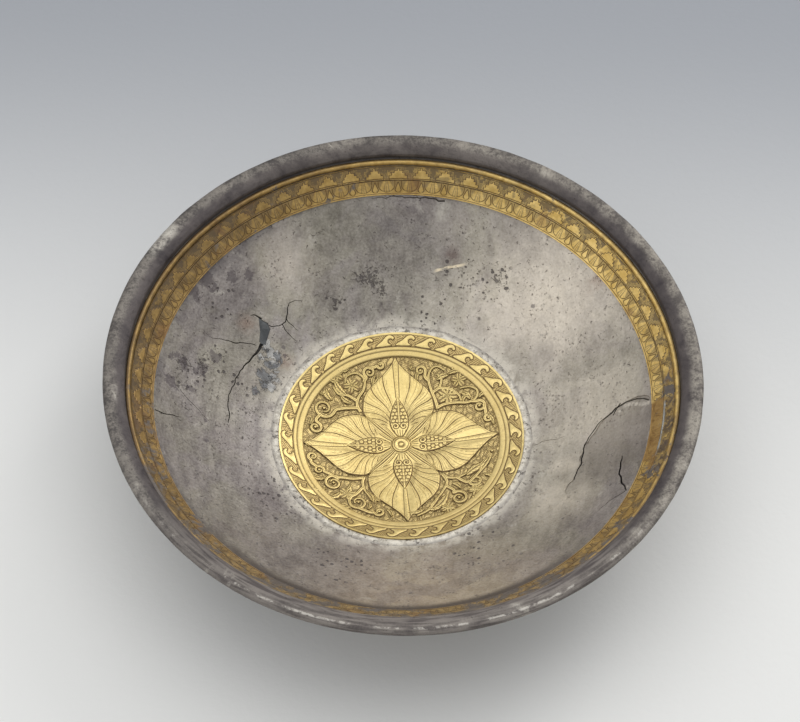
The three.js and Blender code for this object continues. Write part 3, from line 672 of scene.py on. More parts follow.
for path, widths, depth in WALL_CRACKS + BREAK_CRACKS:
    carve(wall, crack(plan(path), widths, depth * MM), "DIFFERENCE")
for path, widths, depth in BREAK_CRACKS:
    carve(fragment, crack(plan(path), widths, depth * MM), "DIFFERENCE")


def fill_finish():
    putty = Finish("old_filling")
    cloud = putty.cloud(0.002, 4)
    grain = putty.cloud(0.0004, 3)
    colour = putty.mix(cloud.rises(0.35, 0.7), (0.055, 0.058, 0.06), (0.12, 0.125, 0.125))
    return putty.dress(colour, 0.85, 0.05, putty.bump(cloud + grain * 0.4, 0.0003))


fill.data.materials.clear()
fill.data.materials.append(fill_finish())

# The lip is a heavy ring of silver on the wall's edge: a rounded outer edge, a nearly flat top and a
# hollow slope down to its seam with the wall above the bead; slope and seam are painted dark as shade.
# Handling has rubbed its crest bright in patches, and on the near side a highlight is painted along the crest.
LIP_HEIGHT = 4.5 * MM
LIP_OUTSET = 0.7 * MM
OUTER_TOP_RADIUS = math.sqrt(OUTER_CURVE**2 - (CENTRE_HEIGHT - JOINT_HEIGHT) ** 2)


def arc(start, pull, end, steps):
    """A curve that leaves towards a pulling point and arrives from it."""
    start, pull, end = (Vector((p[0], 0, p[1])) for p in (start, pull, end))
    return [(1 - t) ** 2 * start + 2 * t * (1 - t) * pull + t * t * end for t in spread(0, 1, steps)]


def lip_profile():
    bottom = JOINT_HEIGHT + SEAT_GAP
    inner = RIM_RADIUS - LIP_WIDTH
    top = JOINT_HEIGHT + LIP_HEIGHT
    edge = top - LIP_HEIGHT * 0.3
    crest = (RIM_RADIUS - LIP_WIDTH * 0.24, top)
    under = (OUTER_TOP_RADIUS + LIP_OUTSET, bottom)
    foot = (inner, bottom + LIP_HEIGHT * 0.35)
    return (arc((inner, bottom), ((inner + under[0]) / 2, bottom), under, 4)
            + arc(under, (RIM_RADIUS, bottom + (edge - bottom) * 0.2), (RIM_RADIUS, edge), 10)[1:]
            + arc((RIM_RADIUS, edge), (RIM_RADIUS, top), crest, 10)[1:]
            + arc(crest, (inner + LIP_WIDTH * 0.25, top - LIP_HEIGHT * 0.14), foot, 14)[1:])


def lip_shape():
    shape = spin_profile(lip_profile(), 480, closed=True)
    for vert in shape.verts:
        out = Vector((vert.co.x, vert.co.y, 0)).normalized()
        rough = noise.noise(vert.co * 60) * 0.14 + noise.noise(vert.co * 260) * 0.05
        if JOINT_HEIGHT + MM < vert.co.z < LIP_TOP - 0.1 * MM:
            vert.co -= out * abs(rough) * MM
        if vert.co.z > RIM_PLANE:
            vert.co.z -= abs(rough) * 0.8 * MM
    return shape


def lip_finish():
    lip = Finish("lip_silver")
    middle = lip.cloud(0.007, 6, 0.65, warp=0.6)
    fine = lip.cloud(0.0016, 6, 0.7)
    grain = lip.cloud(0.0004, 3, 0.6)
    broad = lip.cloud(0.025, 4)
    right = lip.x.rises(-0.06, 0.09)
    out = (lip.radius() + (middle - 0.5) * 3 * MM).rises(RIM_RADIUS - 5.6 * MM, RIM_RADIUS - 2.8 * MM)
    stained = (middle + fine * 0.5).rises(0.5, 0.9)
    # Painted shade: the hollow slope of the lip gets dark, stain-mottled colours, darker still at the left and right.
    dark = lip.mix(stained, (0.05, 0.04, 0.038), (0.135, 0.115, 0.102))
    slope_side_shade = abs(lip.x).rises(0.03, 0.08) * 0.85
    dark = lip.mix(slope_side_shade, dark, lip.mix(stained, (0.032, 0.025, 0.027), (0.088, 0.073, 0.07)))
    mottle = (middle * 0.42 + fine * 0.38 + grain * 0.2).rises(0.4, 0.6)
    grey = lip.mix(mottle, (0.06, 0.052, 0.047), (0.23, 0.205, 0.175))
    paler = lip.mix(mottle, (0.105, 0.09, 0.078), (0.36, 0.325, 0.27))
    grey = lip.mix(right * 0.8, grey, paler)
    colour = lip.mix(out * (0.75 + middle * 0.25), dark, grey)
    near_side = lip.y.rises(-0.045, -0.085)
    turning = lip.node("CombineXYZ", values={0: lip.radius(), 1: lip.turn_share() * 0.06, 2: lip.z})
    scratch = lip.node("TexNoise", values={"Vector": turning, "Scale": 900.0, "Detail": 4.0}, output="Fac")
    colour = lip.mix(near_side * 0.65, colour, lip.mix(scratch.rises(0.36, 0.62), (0.085, 0.07, 0.066), (0.25, 0.22, 0.195)))
    # Painted highlight: a thin broken bright line along the crest on the near side, where handling has also rubbed it.
    crest = abs(lip.radius() - (RIM_RADIUS - 1.7 * MM) + (fine - 0.5) * 1.5 * MM).rises(0.6 * MM, 0.2 * MM)
    crest = crest * near_side * (middle * 0.5 + fine * 0.5).rises(0.49, 0.56)
    rubbed = out * (middle * 0.6 + broad * 0.4).rises(0.56, 0.66) * fine.rises(0.35, 0.6)
    rubbed = rubbed.math("MAXIMUM", lip.near(-0.088, 0.053, 0.012, 0.8) * out * fine.rises(0.3, 0.6))
    colour = lip.mix(rubbed * 0.55, colour, (0.62, 0.58, 0.5))
    colour = lip.mix(crest * 0.6, colour, (0.66, 0.62, 0.55))
    # Painted shade: the foot of the lip, over its seam with the wall, is darkened almost to black.
    foot = lip.z.rises(JOINT_HEIGHT + 0.9 * MM, JOINT_HEIGHT + 0.4 * MM)
    colour = lip.mix(foot * 0.85, colour, (0.03, 0.024, 0.022))
    pits = (fine * 0.5 + grain * 0.5).rises(0.6, 0.68)
    colour = lip.mix(pits * 0.6, colour, (0.06, 0.05, 0.045))
    normal = lip.bump(fine * 0.8 + middle * 0.5 - pits * 0.6, 0.0003)
    normal = lip.bump(grain, 0.00006, normal)
    roughness = 0.46 - rubbed * 0.12 + fine * 0.16 + near_side * 0.24
    return lip.dress(colour, roughness, 0.45 - near_side * 0.2, normal)


shown(lip_shape(), "heavy_lip", lip_finish(), ["rim_lip"])

# Under the lip lies a half-round gilt wire, and below it two thin gilt strips: stepped merlons over a
# row of tongues with drops between them. The gilding is worn through on the near side.
BEAD_DROP = 1.2 * MM
BEAD_WIDTH = 2.3 * MM
BEAD_HEIGHT = 0.95 * MM
MERLON_WIDTH = 5.2 * MM
TONGUE_WIDTH = 5.5 * MM
BAND_THICKNESS = 0.4 * MM
MERLON_START = BEAD_DROP + BEAD_WIDTH + SEAT_GAP
TONGUE_START = MERLON_START + MERLON_WIDTH + SEAT_GAP
REPEATS = 66
BAND_TURNS = REPEATS * 16


def bead_shape():
    profile = []
    for turn in spread(0, math.pi, 10):
        distance = BEAD_DROP + BEAD_WIDTH / 2 * (1 - math.cos(turn))
        profile.append(down_slope(distance, SEAT_GAP + BEAD_HEIGHT * math.sin(turn)))
    shape = spin_profile(profile, 480, closed=True)
    for vert in shape.verts:
        vert.co.z += noise.noise(vert.co * 120) * 0.07 * MM
    return shape


def merlon_half_width(up):
    """Half the width of a stepped merlon, as a share of one repeat, at a share of the strip's height."""
    if up < 0:
        return 0
    return 0.37 - 0.1 * math.floor(up / 0.22) if up < 0.66 else (0.03 if up < 0.86 else 0)


def merlon_height(x, y):
    """Relief of the upper strip: x is 0 in the middle of a merlon, y runs from its foot to its top."""
    up = (y - 0.1) / 0.84
    inside = abs(x) < merlon_half_width(up)
    return 0.15 * MM if inside else (0.12 * MM if y < 0.1 or y > 0.93 else 0)


def tongue_half_width(y):
    """Half the width of a tongue, which ends round, at a share of the strip's height."""
    if y < 0.2:
        return 0
    return 0.36 * math.sqrt(1 - ((0.7 - y) / 0.5) ** 2) if y < 0.7 else 0.36


def drop_half_width(y):
    """Half the width of a drop, round at its lower end and drawn out to a point above."""
    if y < 0.16 or y > 0.9:
        return 0
    return 0.13 * math.sqrt(1 - ((0.36 - y) / 0.2) ** 2) if y < 0.36 else 0.13 * (0.9 - y) / 0.54


def tongue_height(x, y):
    """Relief of the lower strip: x is 0 in the middle of a tongue."""
    half = tongue_half_width(y)
    inside = half > 0 and abs(x) < half
    swell = math.sqrt(max(0, 1 - (x / max(half, 0.01)) ** 2)) if inside else 0
    drop = abs(abs(x) - 0.5) < drop_half_width(y)
    return (0.04 + 0.1 * swell if inside else 0.15 if drop or y < 0.1 or y > 0.96 else 0) * MM


def band_shape(start, width, steps, relief):
    low = [down_slope(start + width * t, SEAT_GAP / 2) for t in (0, 1)]
    top = [down_slope(start + width * t, SEAT_GAP + BAND_THICKNESS) for t in spread(1, 0, steps)]
    shape = spin_profile(low + top, BAND_TURNS, closed=True)
    centre = Vector((0, 0, CENTRE_HEIGHT))
    for vert in shape.verts:
        if (vert.co - centre).length > INNER_CURVE - SEAT_GAP:
            continue
        slope = math.atan2(math.hypot(vert.co.x, vert.co.y), CENTRE_HEIGHT - vert.co.z)
        y = 1 - ((TOP_ANGLE - slope) * INNER_CURVE - start) / width
        x = math.atan2(vert.co.y, vert.co.x) / (2 * math.pi) * REPEATS
        lift = relief((x + 0.5) % 1 - 0.5, y)
        vert.co += (centre - vert.co).normalized() * (lift - 0.2 * MM + hammer(vert.co) * 0.2)
    return shape


def gilt_wear(gilt):
    """Where the frieze's gilding is worn through: most on the near side, in patches elsewhere."""
    middle = gilt.cloud(0.005, 5, 0.65, warp=0.8)
    streak = gilt.cloud(0.0018, 5, 0.65)
    near_side = gilt.y.rises(-0.035, -0.085)
    left_side = gilt.near(-0.08, -0.04, 0.045, 1)
    patches = middle * 0.6 + streak * 0.4
    return (patches + near_side * 0.1 + left_side * 0.09).rises(0.58, 0.66)


def frieze_base(name, pattern):
    """Amber gilding with a dark engraved pattern, worn down to grey silver."""
    gilt = Finish(name)
    middle = gilt.cloud(0.004, 5, 0.65)
    fine = gilt.cloud(0.0009, 5, 0.65)
    bright = gilt.x.rises(-0.03, 0.06) * gilt.y.rises(-0.05, 0.0)
    olive = gilt.x.rises(-0.02, -0.07)
    near_side = gilt.y.rises(-0.05, -0.085)
    mottle = (middle * 0.55 + fine * 0.45).rises(0.35, 0.65)
    gold = gilt.mix(mottle, (0.4, 0.25, 0.075), (0.62, 0.42, 0.14))
    gold = gilt.mix(bright * 0.75, gold, gilt.mix(mottle, (0.66, 0.44, 0.12), (0.95, 0.7, 0.27)))
    gold = gilt.mix(olive * 0.85, gold, gilt.mix(mottle, (0.17, 0.108, 0.04), (0.39, 0.25, 0.09)))
    gold = gilt.mix(near_side * 0.8, gold, gilt.mix(mottle, (0.24, 0.17, 0.09), (0.5, 0.36, 0.18)))
    lines, ground = pattern(gilt)
    dark = gilt.mix(fine, (0.05, 0.038, 0.03), (0.14, 0.1, 0.058))
    colour = gilt.mix(ground * (0.62 + fine * 0.4), gold, dark)
    colour = gilt.mix(lines * 0.85, colour, (0.1, 0.06, 0.03))
    rust = (gilt.cloud(0.007, 4, 0.6, warp=0.5)).rises(0.55, 0.7)
    colour = gilt.mix(rust * 0.5, colour, (0.2, 0.1, 0.045))
    silver = gilt.mix(fine, (0.07, 0.058, 0.052), (0.2, 0.17, 0.145))
    bare = zones(gilt, [(0.0905, -0.006, 0.007), (0.09, -0.014, 0.007), (0.0875, -0.022, 0.007), (0.089, -0.03, 0.005)])
    bare = bare.rises(0.1, 0.3)
    plain = gilt.mix(mottle, (0.24, 0.13, 0.045), (0.42, 0.26, 0.09))
    scraped = gilt.mix(gilt.cloud(0.0014, 5, 0.7, warp=0.8).rises(0.44, 0.58), (0.1, 0.075, 0.06), (0.38, 0.26, 0.1))
    colour = gilt.mix(bare * 0.85, colour, gilt.mix(gilt.radius().rises(0.0921, 0.0925), plain, scraped))
    patch = ragged(gilt, [(0.0935, 0.0, 0.006), (0.087, -0.0335, 0.006)], 0.0025, 0.5)
    worn = gilt_wear(gilt).math("MAXIMUM", patch)
    colour = gilt.mix(worn, colour, silver)
    seam = abs(gilt.radius() - 0.0922 + (fine - 0.5) * 0.6 * MM).rises(0.45 * MM, 0.15 * MM) * gilt.x.rises(0, 0.01)
    seam = seam * gilt.y.rises(-0.027, -0.024) * gilt.y.rises(-0.002, -0.005) * middle.rises(0.4, 0.5)
    colour = gilt.mix(seam * 0.8, colour, (0.42, 0.45, 0.45))
    normal = gilt.bump(fine * 0.4 - lines * 0.7 - ground * 0.4 - worn * 0.4, 0.00014)
    return gilt.dress(colour, 0.38 + fine * 0.15 + worn * 0.12, 0.72 - ground * 0.3 - worn * 0.25, normal)


def slope_share(gilt, start, width):
    """0 at the lower edge of a strip and 1 at its upper edge."""
    slope = gilt.node("Math", {"operation": "ARCTAN2"}, {0: gilt.radius(), 1: CENTRE_HEIGHT - gilt.z})
    return 1 - ((TOP_ANGLE - slope) * INNER_CURVE - start) / width


def stepped(gilt, x, up, grow):
    """1 inside a stepped merlon that has been made larger all round by a share of one repeat."""
    risen = up - grow * 1.6
    steps = (risen / 0.22).math("FLOOR").math("MAXIMUM", 0.0)
    tall = risen.rises(0.65, 0.67)
    half = (0.37 - steps * 0.1) * (1 - tall) + tall * 0.03 + grow
    return (x - half).rises(0.01, -0.01) * risen.rises(0.87, 0.85)


def merlon_pattern(gilt):
    wobble = gilt.cloud(0.0022, 3) - 0.5
    y = slope_share(gilt, MERLON_START, MERLON_WIDTH) + wobble * 0.12
    x = (gilt.turn_share() * REPEATS + wobble * 0.2).to_line()
    up = (y - 0.1) / 0.84
    merlon = stepped(gilt, x, up, 0.0)
    outlines = [stepped(gilt, x, up, grow) for grow in (0.03, 0.055, 0.08, 0.1, 0.125, 0.15)]
    rings = [outlines[k + 1] - outlines[k] for k in (0, 2, 4)]
    ground = (1 - merlon) * up.rises(-0.01, 0.01) * up.rises(1.05, 1.0)
    broken = gilt.cloud(0.0009, 3).rises(0.38, 0.5)
    pale = rings[0].math("MAXIMUM", rings[1]).math("MAXIMUM", rings[2]) * broken * 0.75
    edge = (outlines[0] - merlon).math("MAXIMUM", 0.0)
    base = abs(y - 0.06).rises(0.045, 0.02).math("MAXIMUM", abs(y - 0.95).rises(0.03, 0.01))
    lost = gilt.cloud(0.004, 5, 0.65, warp=0.6)
    ground = (ground * (1 - pale) * lost.rises(0.36, 0.46)).math("MAXIMUM", lost.rises(0.54, 0.62) * 0.6)
    return base.math("MAXIMUM", edge * 0.9), ground


def tongue_pattern(gilt):
    y = slope_share(gilt, TONGUE_START, TONGUE_WIDTH)
    x = (gilt.turn_share() * REPEATS + 0.5).to_line()
    round_end = (1 - ((0.7 - y).math("MAXIMUM", 0.0) / 0.5) ** 2).math("MAXIMUM", 0.0) ** 0.5
    half = round_end * 0.36
    edge = abs(x - half).rises(0.034, 0.012) * y.rises(0.17, 0.2)
    inside = (half - x).rises(0.02, 0.05)
    fan = gilt.node("Math", {"operation": "ARCTAN2"}, {0: x * 8.5, 1: 1.35 - y}) * 1.45
    hatch = fan.to_line().rises(0.3, 0.12)
    dots = gilt.cells(0.0005).rises(0.45, 0.25)
    round_drop = (1 - ((0.36 - y).math("MAXIMUM", 0.0) / 0.2) ** 2).math("MAXIMUM", 0.0) ** 0.5
    taper = ((0.9 - y) / 0.54).math("MINIMUM", 1.0).math("MAXIMUM", 0.0)
    drop = round_drop * taper * 0.13
    beside = 0.5 - x
    drop_edge = abs(beside - drop).rises(0.03, 0.01) * y.rises(0.14, 0.17) * y.rises(0.92, 0.88)
    between = (x - half).rises(0.02, 0.04) * (beside - drop).rises(0.01, 0.03) * y.rises(0.3, 0.45)
    base = abs(y - 0.1).rises(0.035, 0.012).math("MAXIMUM", abs(y - 0.97).rises(0.03, 0.01))
    lines = edge.math("MAXIMUM", base).math("MAXIMUM", drop_edge)
    return lines, (inside * (hatch * 0.6 + dots * 0.25)).math("MAXIMUM", between * 0.6)


def bead_pattern(gilt):
    slope = slope_share(gilt, BEAD_DROP, BEAD_WIDTH)
    streak = gilt.cloud(0.0022, 5, 0.65, warp=0.5).rises(0.42, 0.6)
    seam = slope.rises(0.62, 0.88) * 0.85
    foot = slope.rises(0.42, 0.1) * (0.3 + streak * 0.4)
    return seam.math("MAXIMUM", foot), streak * 0.35


shown(bead_shape(), "gilt_bead", frieze_base("bead_gilding", bead_pattern), ["rim_bead"])
shown(band_shape(MERLON_START, MERLON_WIDTH, 22, merlon_height), "stepped_merlon_strip",
      frieze_base("merlon_gilding", merlon_pattern), ["merlon_band"])
shown(band_shape(TONGUE_START, TONGUE_WIDTH, 22, tongue_height), "tongue_strip",
      frieze_base("tongue_gilding", tongue_pattern), ["tongue_band"])

# The medallion was made apart and soldered in. The old solder shows as a pale crust all round it.
PLATE_RADIUS = 44.4 * MM
PLATE_THICKNESS = 0.7 * MM
SOLDER_WIDTH = 3 * MM
PLATE_RISE = SEAT_GAP + PLATE_THICKNESS
RELIEF_RISE = PLATE_RISE + SEAT_GAP


def at_radius(radius, rise):
    return on_face(radius, 0, rise)


def solder_shape():
    start = PLATE_RADIUS + 0.1 * MM
    outline = [at_radius(start, 0), at_radius(start + SOLDER_WIDTH, -0.3 * MM)]
    for share in spread(1, 0, 12):
        outline.append(at_radius(start + SOLDER_WIDTH * share, PLATE_THICKNESS * 1.1 * (1 - share) ** 0.8 - 0.06 * MM))
    shape = spin_profile(outline, 420, closed=True)
    for vert in shape.verts:
        radius = math.hypot(vert.co.x, vert.co.y)
        share = (radius - start) / SOLDER_WIDTH
        lump = noise.noise(vert.co * 300) * 0.5 + noise.noise(vert.co * 110)
        vert.co.z += lump * 0.1 * MM
        if share > 0.8:
            vert.co.xy *= 1 + lump * 0.016
    return shape


def solder_finish():
    solder = Finish("pale_solder")
    fine = solder.cloud(0.0011, 6, 0.7)
    middle = solder.cloud(0.0045, 5, 0.65, warp=0.6)
    colour = solder.mix(fine.rises(0.34, 0.6), (0.4, 0.36, 0.3), (0.76, 0.71, 0.61))
    ragged = solder.radius() + (middle - 0.5) * 5 * MM + (fine - 0.5) * 3 * MM
    fade = ragged.rises(PLATE_RADIUS + 1.2 * MM, PLATE_RADIUS + 2.8 * MM)
    greys = solder.mix((middle * 0.5 + fine * 0.5).rises(0.4, 0.6), (0.15, 0.13, 0.115), (0.4, 0.365, 0.32))
    colour = solder.mix(fade * 0.85, colour, greys)
    specks = (solder.cloud(0.0007, 4, 0.7) * 0.7 + middle * 0.3).rises(0.56, 0.62)
    colour = solder.mix(specks * 0.75, colour, (0.1, 0.088, 0.08))
    return solder.dress(colour, 0.65, 0.15, solder.bump(fine - specks * 0.6, 0.0004))


shown(solder_shape(), "solder_crust", solder_finish(), ["solder_ring"])

# The medallion is a dished gilt plate. Its relief stands on a ground that is hatched all over with
# short brown strokes, and brown lines are engraved along every edge.
FIELD_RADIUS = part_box("moulding_ring")[1].x - 3.7 * MM
BORDER_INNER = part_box("moulding_ring")[1].x
GOLD_LIGHT = (0.9, 0.71, 0.31)
GOLD_DEEP = (0.68, 0.51, 0.2)
ENGRAVED = (0.12, 0.068, 0.03)


def plate_shape():
    low = [at_radius(r, SEAT_GAP / 2) for r in spread(0, PLATE_RADIUS, 40)]
    top = [at_radius(r, PLATE_RISE) for r in spread(PLATE_RADIUS, 0, 90)]
    return spin_profile(low + top, 256)


def gold_base(gilt):
    """Light yellow gilding, a little uneven, and its fine grain."""
    middle = gilt.cloud(0.006, 4, 0.6)
    fine = gilt.cloud(0.0009, 4, 0.6)
    gold = gilt.mix((middle * 0.5 + fine * 0.5).rises(0.36, 0.62), GOLD_DEEP, GOLD_LIGHT)
    far_side = (gilt.y - gilt.x * 0.5).rises(-0.015, 0.045) * 0.5
    gold = gilt.mix(far_side, gold, gilt.mix(fine, (0.42, 0.33, 0.12), (0.66, 0.51, 0.2)))
    return gold, middle, fine


def strokes(gilt, pitch=0.8 * MM):
    """Short parallel engraved strokes that run one way here and another way there."""
    patch = gilt.cloud(0.0035, 2)
    wobble = gilt.cloud(0.0012, 2) * 0.9
    lean = ((gilt.x + gilt.y * 0.8) / pitch + wobble).to_line().rises(0.32, 0.14)
    cross = ((gilt.y - gilt.x * 0.5) / pitch + wobble).to_line().rises(0.32, 0.14)
    turned = patch.rises(0.49, 0.51)
    chop = gilt.cloud(0.0009, 2).rises(0.36, 0.46)
    return gilt.mix(turned, gilt_grey(gilt, lean), gilt_grey(gilt, cross)).channel() * chop


def foliage(gilt, size=2 * MM):
    """A dense tangle of small engraved leaves: the lines between them, and how high each one swells."""
    sway = gilt.node("TexNoise", values={"Vector": gilt.place, "Scale": 0.4 / size, "Detail": 2.0}, output="Color")
    sway = gilt.node("VectorMath", {"operation": "SCALE"}, {0: sway, "Scale": size * 2.2})
    place = gilt.node("VectorMath", {"operation": "ADD"}, {0: gilt.place, 1: sway})
    place = gilt.node("Mapping", values={"Vector": place, "Rotation": (0, 0, 0.7), "Scale": (1, 0.55, 1)})
    edge = gilt.cells(size, "DISTANCE_TO_EDGE", place)
    return edge.rises(0.13, 0.04), edge.rises(0.0, 0.35)


def gilt_grey(gilt, value):
    return gilt.node("CombineXYZ", values={0: value, 1: value, 2: value})


def plate_finish():
    gilt = Finish("ground_gilding")
    gold, middle, fine = gold_base(gilt)
    brown = gilt.mix(fine, (0.42, 0.3, 0.125), (0.68, 0.5, 0.22))
    hatch = strokes(gilt)
    veins, swell = foliage(gilt)
    inside = gilt.radius().rises(FIELD_RADIUS + 0.5 * MM, FIELD_RADIUS)
    ground = gilt.mix(0.35 + middle * 0.3, gold, brown)
    ground = gilt.mix(hatch * 0.34, ground, ENGRAVED)
    ground = gilt.mix(veins * 0.46, ground, ENGRAVED)
    colour = gilt.mix(inside, gold, ground)
    normal = gilt.bump((swell * 0.8 - hatch * 0.4 - veins * 0.5) * inside, 0.00022)
    return gilt.dress(colour, 0.42 + hatch * 0.12, 0.75, normal)


shown(plate_shape(), "gilt_plate", plate_finish(), ["medallion_plate"])

# The border ring carries thirty-four running waves that lean clockwise, plain on a hatched ground.
WAVE_COUNT = 34
WAVE_OUTLINE = [
    (0.16, 0), (0.31, 0.22), (0.31, 0.52), (0.17, 0.62), (0.08, 0.5),
    (0, 0.68), (0.1, 0.92), (0.26, 1), (0.42, 0.86), (0.62, 0.5), (0.97, 0),
]
WAVE_LENGTH = 3.9 * MM
BORDER_THICKNESS = 0.25 * MM
WAVE_HEIGHT = 0.35 * MM


def pattern_layer(shape):
    return shape.loops.layers.uv.new("pattern")


def join(shape, other):
    """Adds a second bmesh to the first, with its pattern coordinates."""
    mesh = bpy.data.meshes.new("part")
    other.to_mesh(mesh)
    other.free()
    shape.from_mesh(mesh)
    bpy.data.meshes.remove(mesh)
    return shape


def plaque(outline, low, high, rounding, mark=1.0):
    """A flat relief over a plan outline with a rounded edge. Its pattern's u is 0 at the edge, mark inside."""
    shape = bmesh.new()
    layer = pattern_layer(shape)
    face = shape.faces.new([shape.verts.new((p.x, p.y, 0)) for p in outline])
    if face.calc_area() and face.normal.z < 0:
        face.normal_flip()
    walls = bmesh.ops.extrude_face_region(shape, geom=[face])["geom"]
    top = next(g for g in walls if isinstance(g, bmesh.types.BMFace))
    raised = set(top.verts)
    bmesh.ops.inset_individual(shape, faces=[top], thickness=rounding, depth=0)
    inner = set(top.verts)
    for vert in shape.verts:
        rise = high if vert in inner else (low * 0.45 + high * 0.55 if vert in raised else low)
        vert.co = on_face(vert.co.x, vert.co.y, rise)
    for each in shape.faces:
        for loop in each.loops:
            loop[layer].uv = (mark if loop.vert in inner else 0.0, 0.5)
    bmesh.ops.triangulate(shape, faces=[f for f in shape.faces if len(f.verts) > 4])
    return shape


def border_shape():
    start = BORDER_INNER + SEAT_GAP
    profile = [at_radius(start, RELIEF_RISE - 0.05 * MM), at_radius(PLATE_RADIUS, RELIEF_RISE - 0.05 * MM)]
    profile += [at_radius(r, RELIEF_RISE + BORDER_THICKNESS) for r in spread(PLATE_RADIUS, start, 8)]
    return spin_profile(profile, 340, closed=True)


def waves_shape():
    start = BORDER_INNER + 2 * SEAT_GAP
    shape = bmesh.new()
    pattern_layer(shape)
    pitch = 360 / WAVE_COUNT
    for k in range(WAVE_COUNT):
        wobble = noise.noise(Vector((k * 1.7, 0, 0))) * 0.04
        corners = [polar(start + y * WAVE_LENGTH * (1 + wobble), (k + x + wobble) * pitch) for x, y in WAVE_OUTLINE]
        outline = smooth_path(corners, 4, closed=True)
        top = RELIEF_RISE + BORDER_THICKNESS
        join(shape, plaque(outline, top - 0.1 * MM, top + WAVE_HEIGHT * 0.35, 0.18 * MM))
        join(shape, plaque(shifted(outline, 0.26 * MM), top - 0.1 * MM, top + 0.02 * MM, 0.01 * MM, mark=0.0))
    return shape


def border_finish():
    gilt = Finish("border_gilding")
    gold, middle, fine = gold_base(gilt)
    hatch = strokes(gilt)
    band = gilt.radius().rises(PLATE_RADIUS - 0.9 * MM, PLATE_RADIUS - 1.1 * MM)
    line = abs(gilt.radius() - (PLATE_RADIUS - 0.85 * MM)).rises(0.2 * MM, 0.08 * MM)
    brown = gilt.mix(fine, (0.33, 0.22, 0.085), (0.56, 0.4, 0.165))
    ground = gilt.mix(0.45 + middle * 0.35, gold, brown)
    ground = gilt.mix(hatch * 0.55, ground, ENGRAVED)
    colour = gilt.mix(band, gold, ground)
    colour = gilt.mix(line * 0.6, colour, ENGRAVED)
    normal = gilt.bump(fine * 0.3 - hatch * band - line, 0.00012)
    return gilt.dress(colour, 0.4 + hatch * band * 0.12, 0.75, normal)


def relief_finish(name, lines, shine=0.36, worn=0.0):
    """Light gold relief: lines(gilt) gives how strongly each place is engraved, worn how dull the gold is."""
    gilt = Finish(name)
    gold, middle, fine = gold_base(gilt)
    dull = gilt.mix(fine, (0.27, 0.19, 0.08), (0.5, 0.375, 0.17))
    gold = gilt.mix(worn * (middle * 0.7 + fine * 0.7), gold, dull)
    engraved = lines(gilt)
    stipple = gilt.cells(0.00042).rises(0.32, 0.16) * fine.rises(0.4, 0.6)
    colour = gilt.mix(stipple * 0.36, gold, ENGRAVED)
    dirt = (middle * 0.5 + fine * 0.5).rises(0.52, 0.64)
    colour = gilt.mix(dirt * 0.3, colour, (0.36, 0.25, 0.1))
    colour = gilt.mix(engraved, colour, ENGRAVED)
    normal = gilt.bump(fine * 0.35 - engraved - stipple * 0.3, 0.0001)
    return gilt.dress(colour, shine + fine * 0.12 + engraved * 0.1, 0.8, normal)


def edge_line(gilt):
    u, v = gilt.uv()
    return u.rises(0.95, 0.3) * 0.9


shown(border_shape(), "border_ring", border_finish(), ["wave_border"])
shown(waves_shape(), "running_waves", relief_finish("wave_gilding", edge_line), ["wave_border"], 60)

# The moulding frames the rosette: two round ribs, the inner one broader, with a groove between them.
MOULDING_HEIGHT = 0.36 * MM


def moulding_shape():
    start = FIELD_RADIUS
    width = BORDER_INNER - start
    outer = width * 0.4
    points = []
    for begin, wide, high in ((start, width - outer, 1), (start + width - outer, outer, 0.85)):
        for turn in spread(0, math.pi, 12):
            lift = MOULDING_HEIGHT * high * (0.45 + 0.55 * math.sin(turn) ** 0.7)
            points.append(at_radius(begin + wide / 2 * (1 - math.cos(turn)), RELIEF_RISE + lift))
    points += [at_radius(start + width, RELIEF_RISE - 0.1 * MM), at_radius(start, RELIEF_RISE - 0.1 * MM)]
    shape = spin_profile(points, 360, closed=True)
    for vert in shape.verts:
        vert.co.z += noise.noise(vert.co * 90) * 0.06 * MM
    return shape


def rib_lines(gilt):
    width = BORDER_INNER - FIELD_RADIUS
    groove = abs(gilt.radius() - (FIELD_RADIUS + width * 0.6)).rises(0.5 * MM, 0.05 * MM) * 0.4
    edges = abs(gilt.radius() - (FIELD_RADIUS + width / 2)).rises(width / 2 - 0.5 * MM, width / 2 - 0.1 * MM) * 0.5
    return groove.math("MAXIMUM", edges)


shown(moulding_shape(), "twin_rib_moulding", relief_finish("moulding_gilding", rib_lines, shine=0.42, worn=0.3),
      ["moulding_ring"])

# The rosette: four broad pointed petals, each a low cushion with two lobes and curved veins that
# spread from its foot. A seed cone in a curled calyx lies along the middle of each.
ROSETTE_TURN = 5.5
BOSS_RADIUS = 3.4 * MM
BOSS_HEIGHT = 1.15 * MM
PETAL_START = BOSS_RADIUS + SEAT_GAP
PETAL_LENGTH = FIELD_RADIUS - 0.1 * MM - PETAL_START
PETAL_HALF_WIDTH = 13.2 * MM
PETAL_WIDTHS = [
    (0, 0.26), (0.14, 0.52), (0.24, 0.85), (0.32, 0.99), (0.42, 0.99), (0.52, 0.94),
    (0.61, 0.81), (0.69, 0.62), (0.77, 0.42), (0.86, 0.22), (0.93, 0.1), (1, 0.02),
]
PETAL_OUTLINE = smooth_path(PETAL_WIDTHS, 10)


def petal_half_width(share):
    for before, after in zip(PETAL_OUTLINE, PETAL_OUTLINE[1:]):
        if share <= after.x:
            part = (share - before.x) / (after.x - before.x)
            return PETAL_HALF_WIDTH * (before.y + (after.y - before.y) * part)
    return PETAL_HALF_WIDTH * PETAL_OUTLINE[-1].y


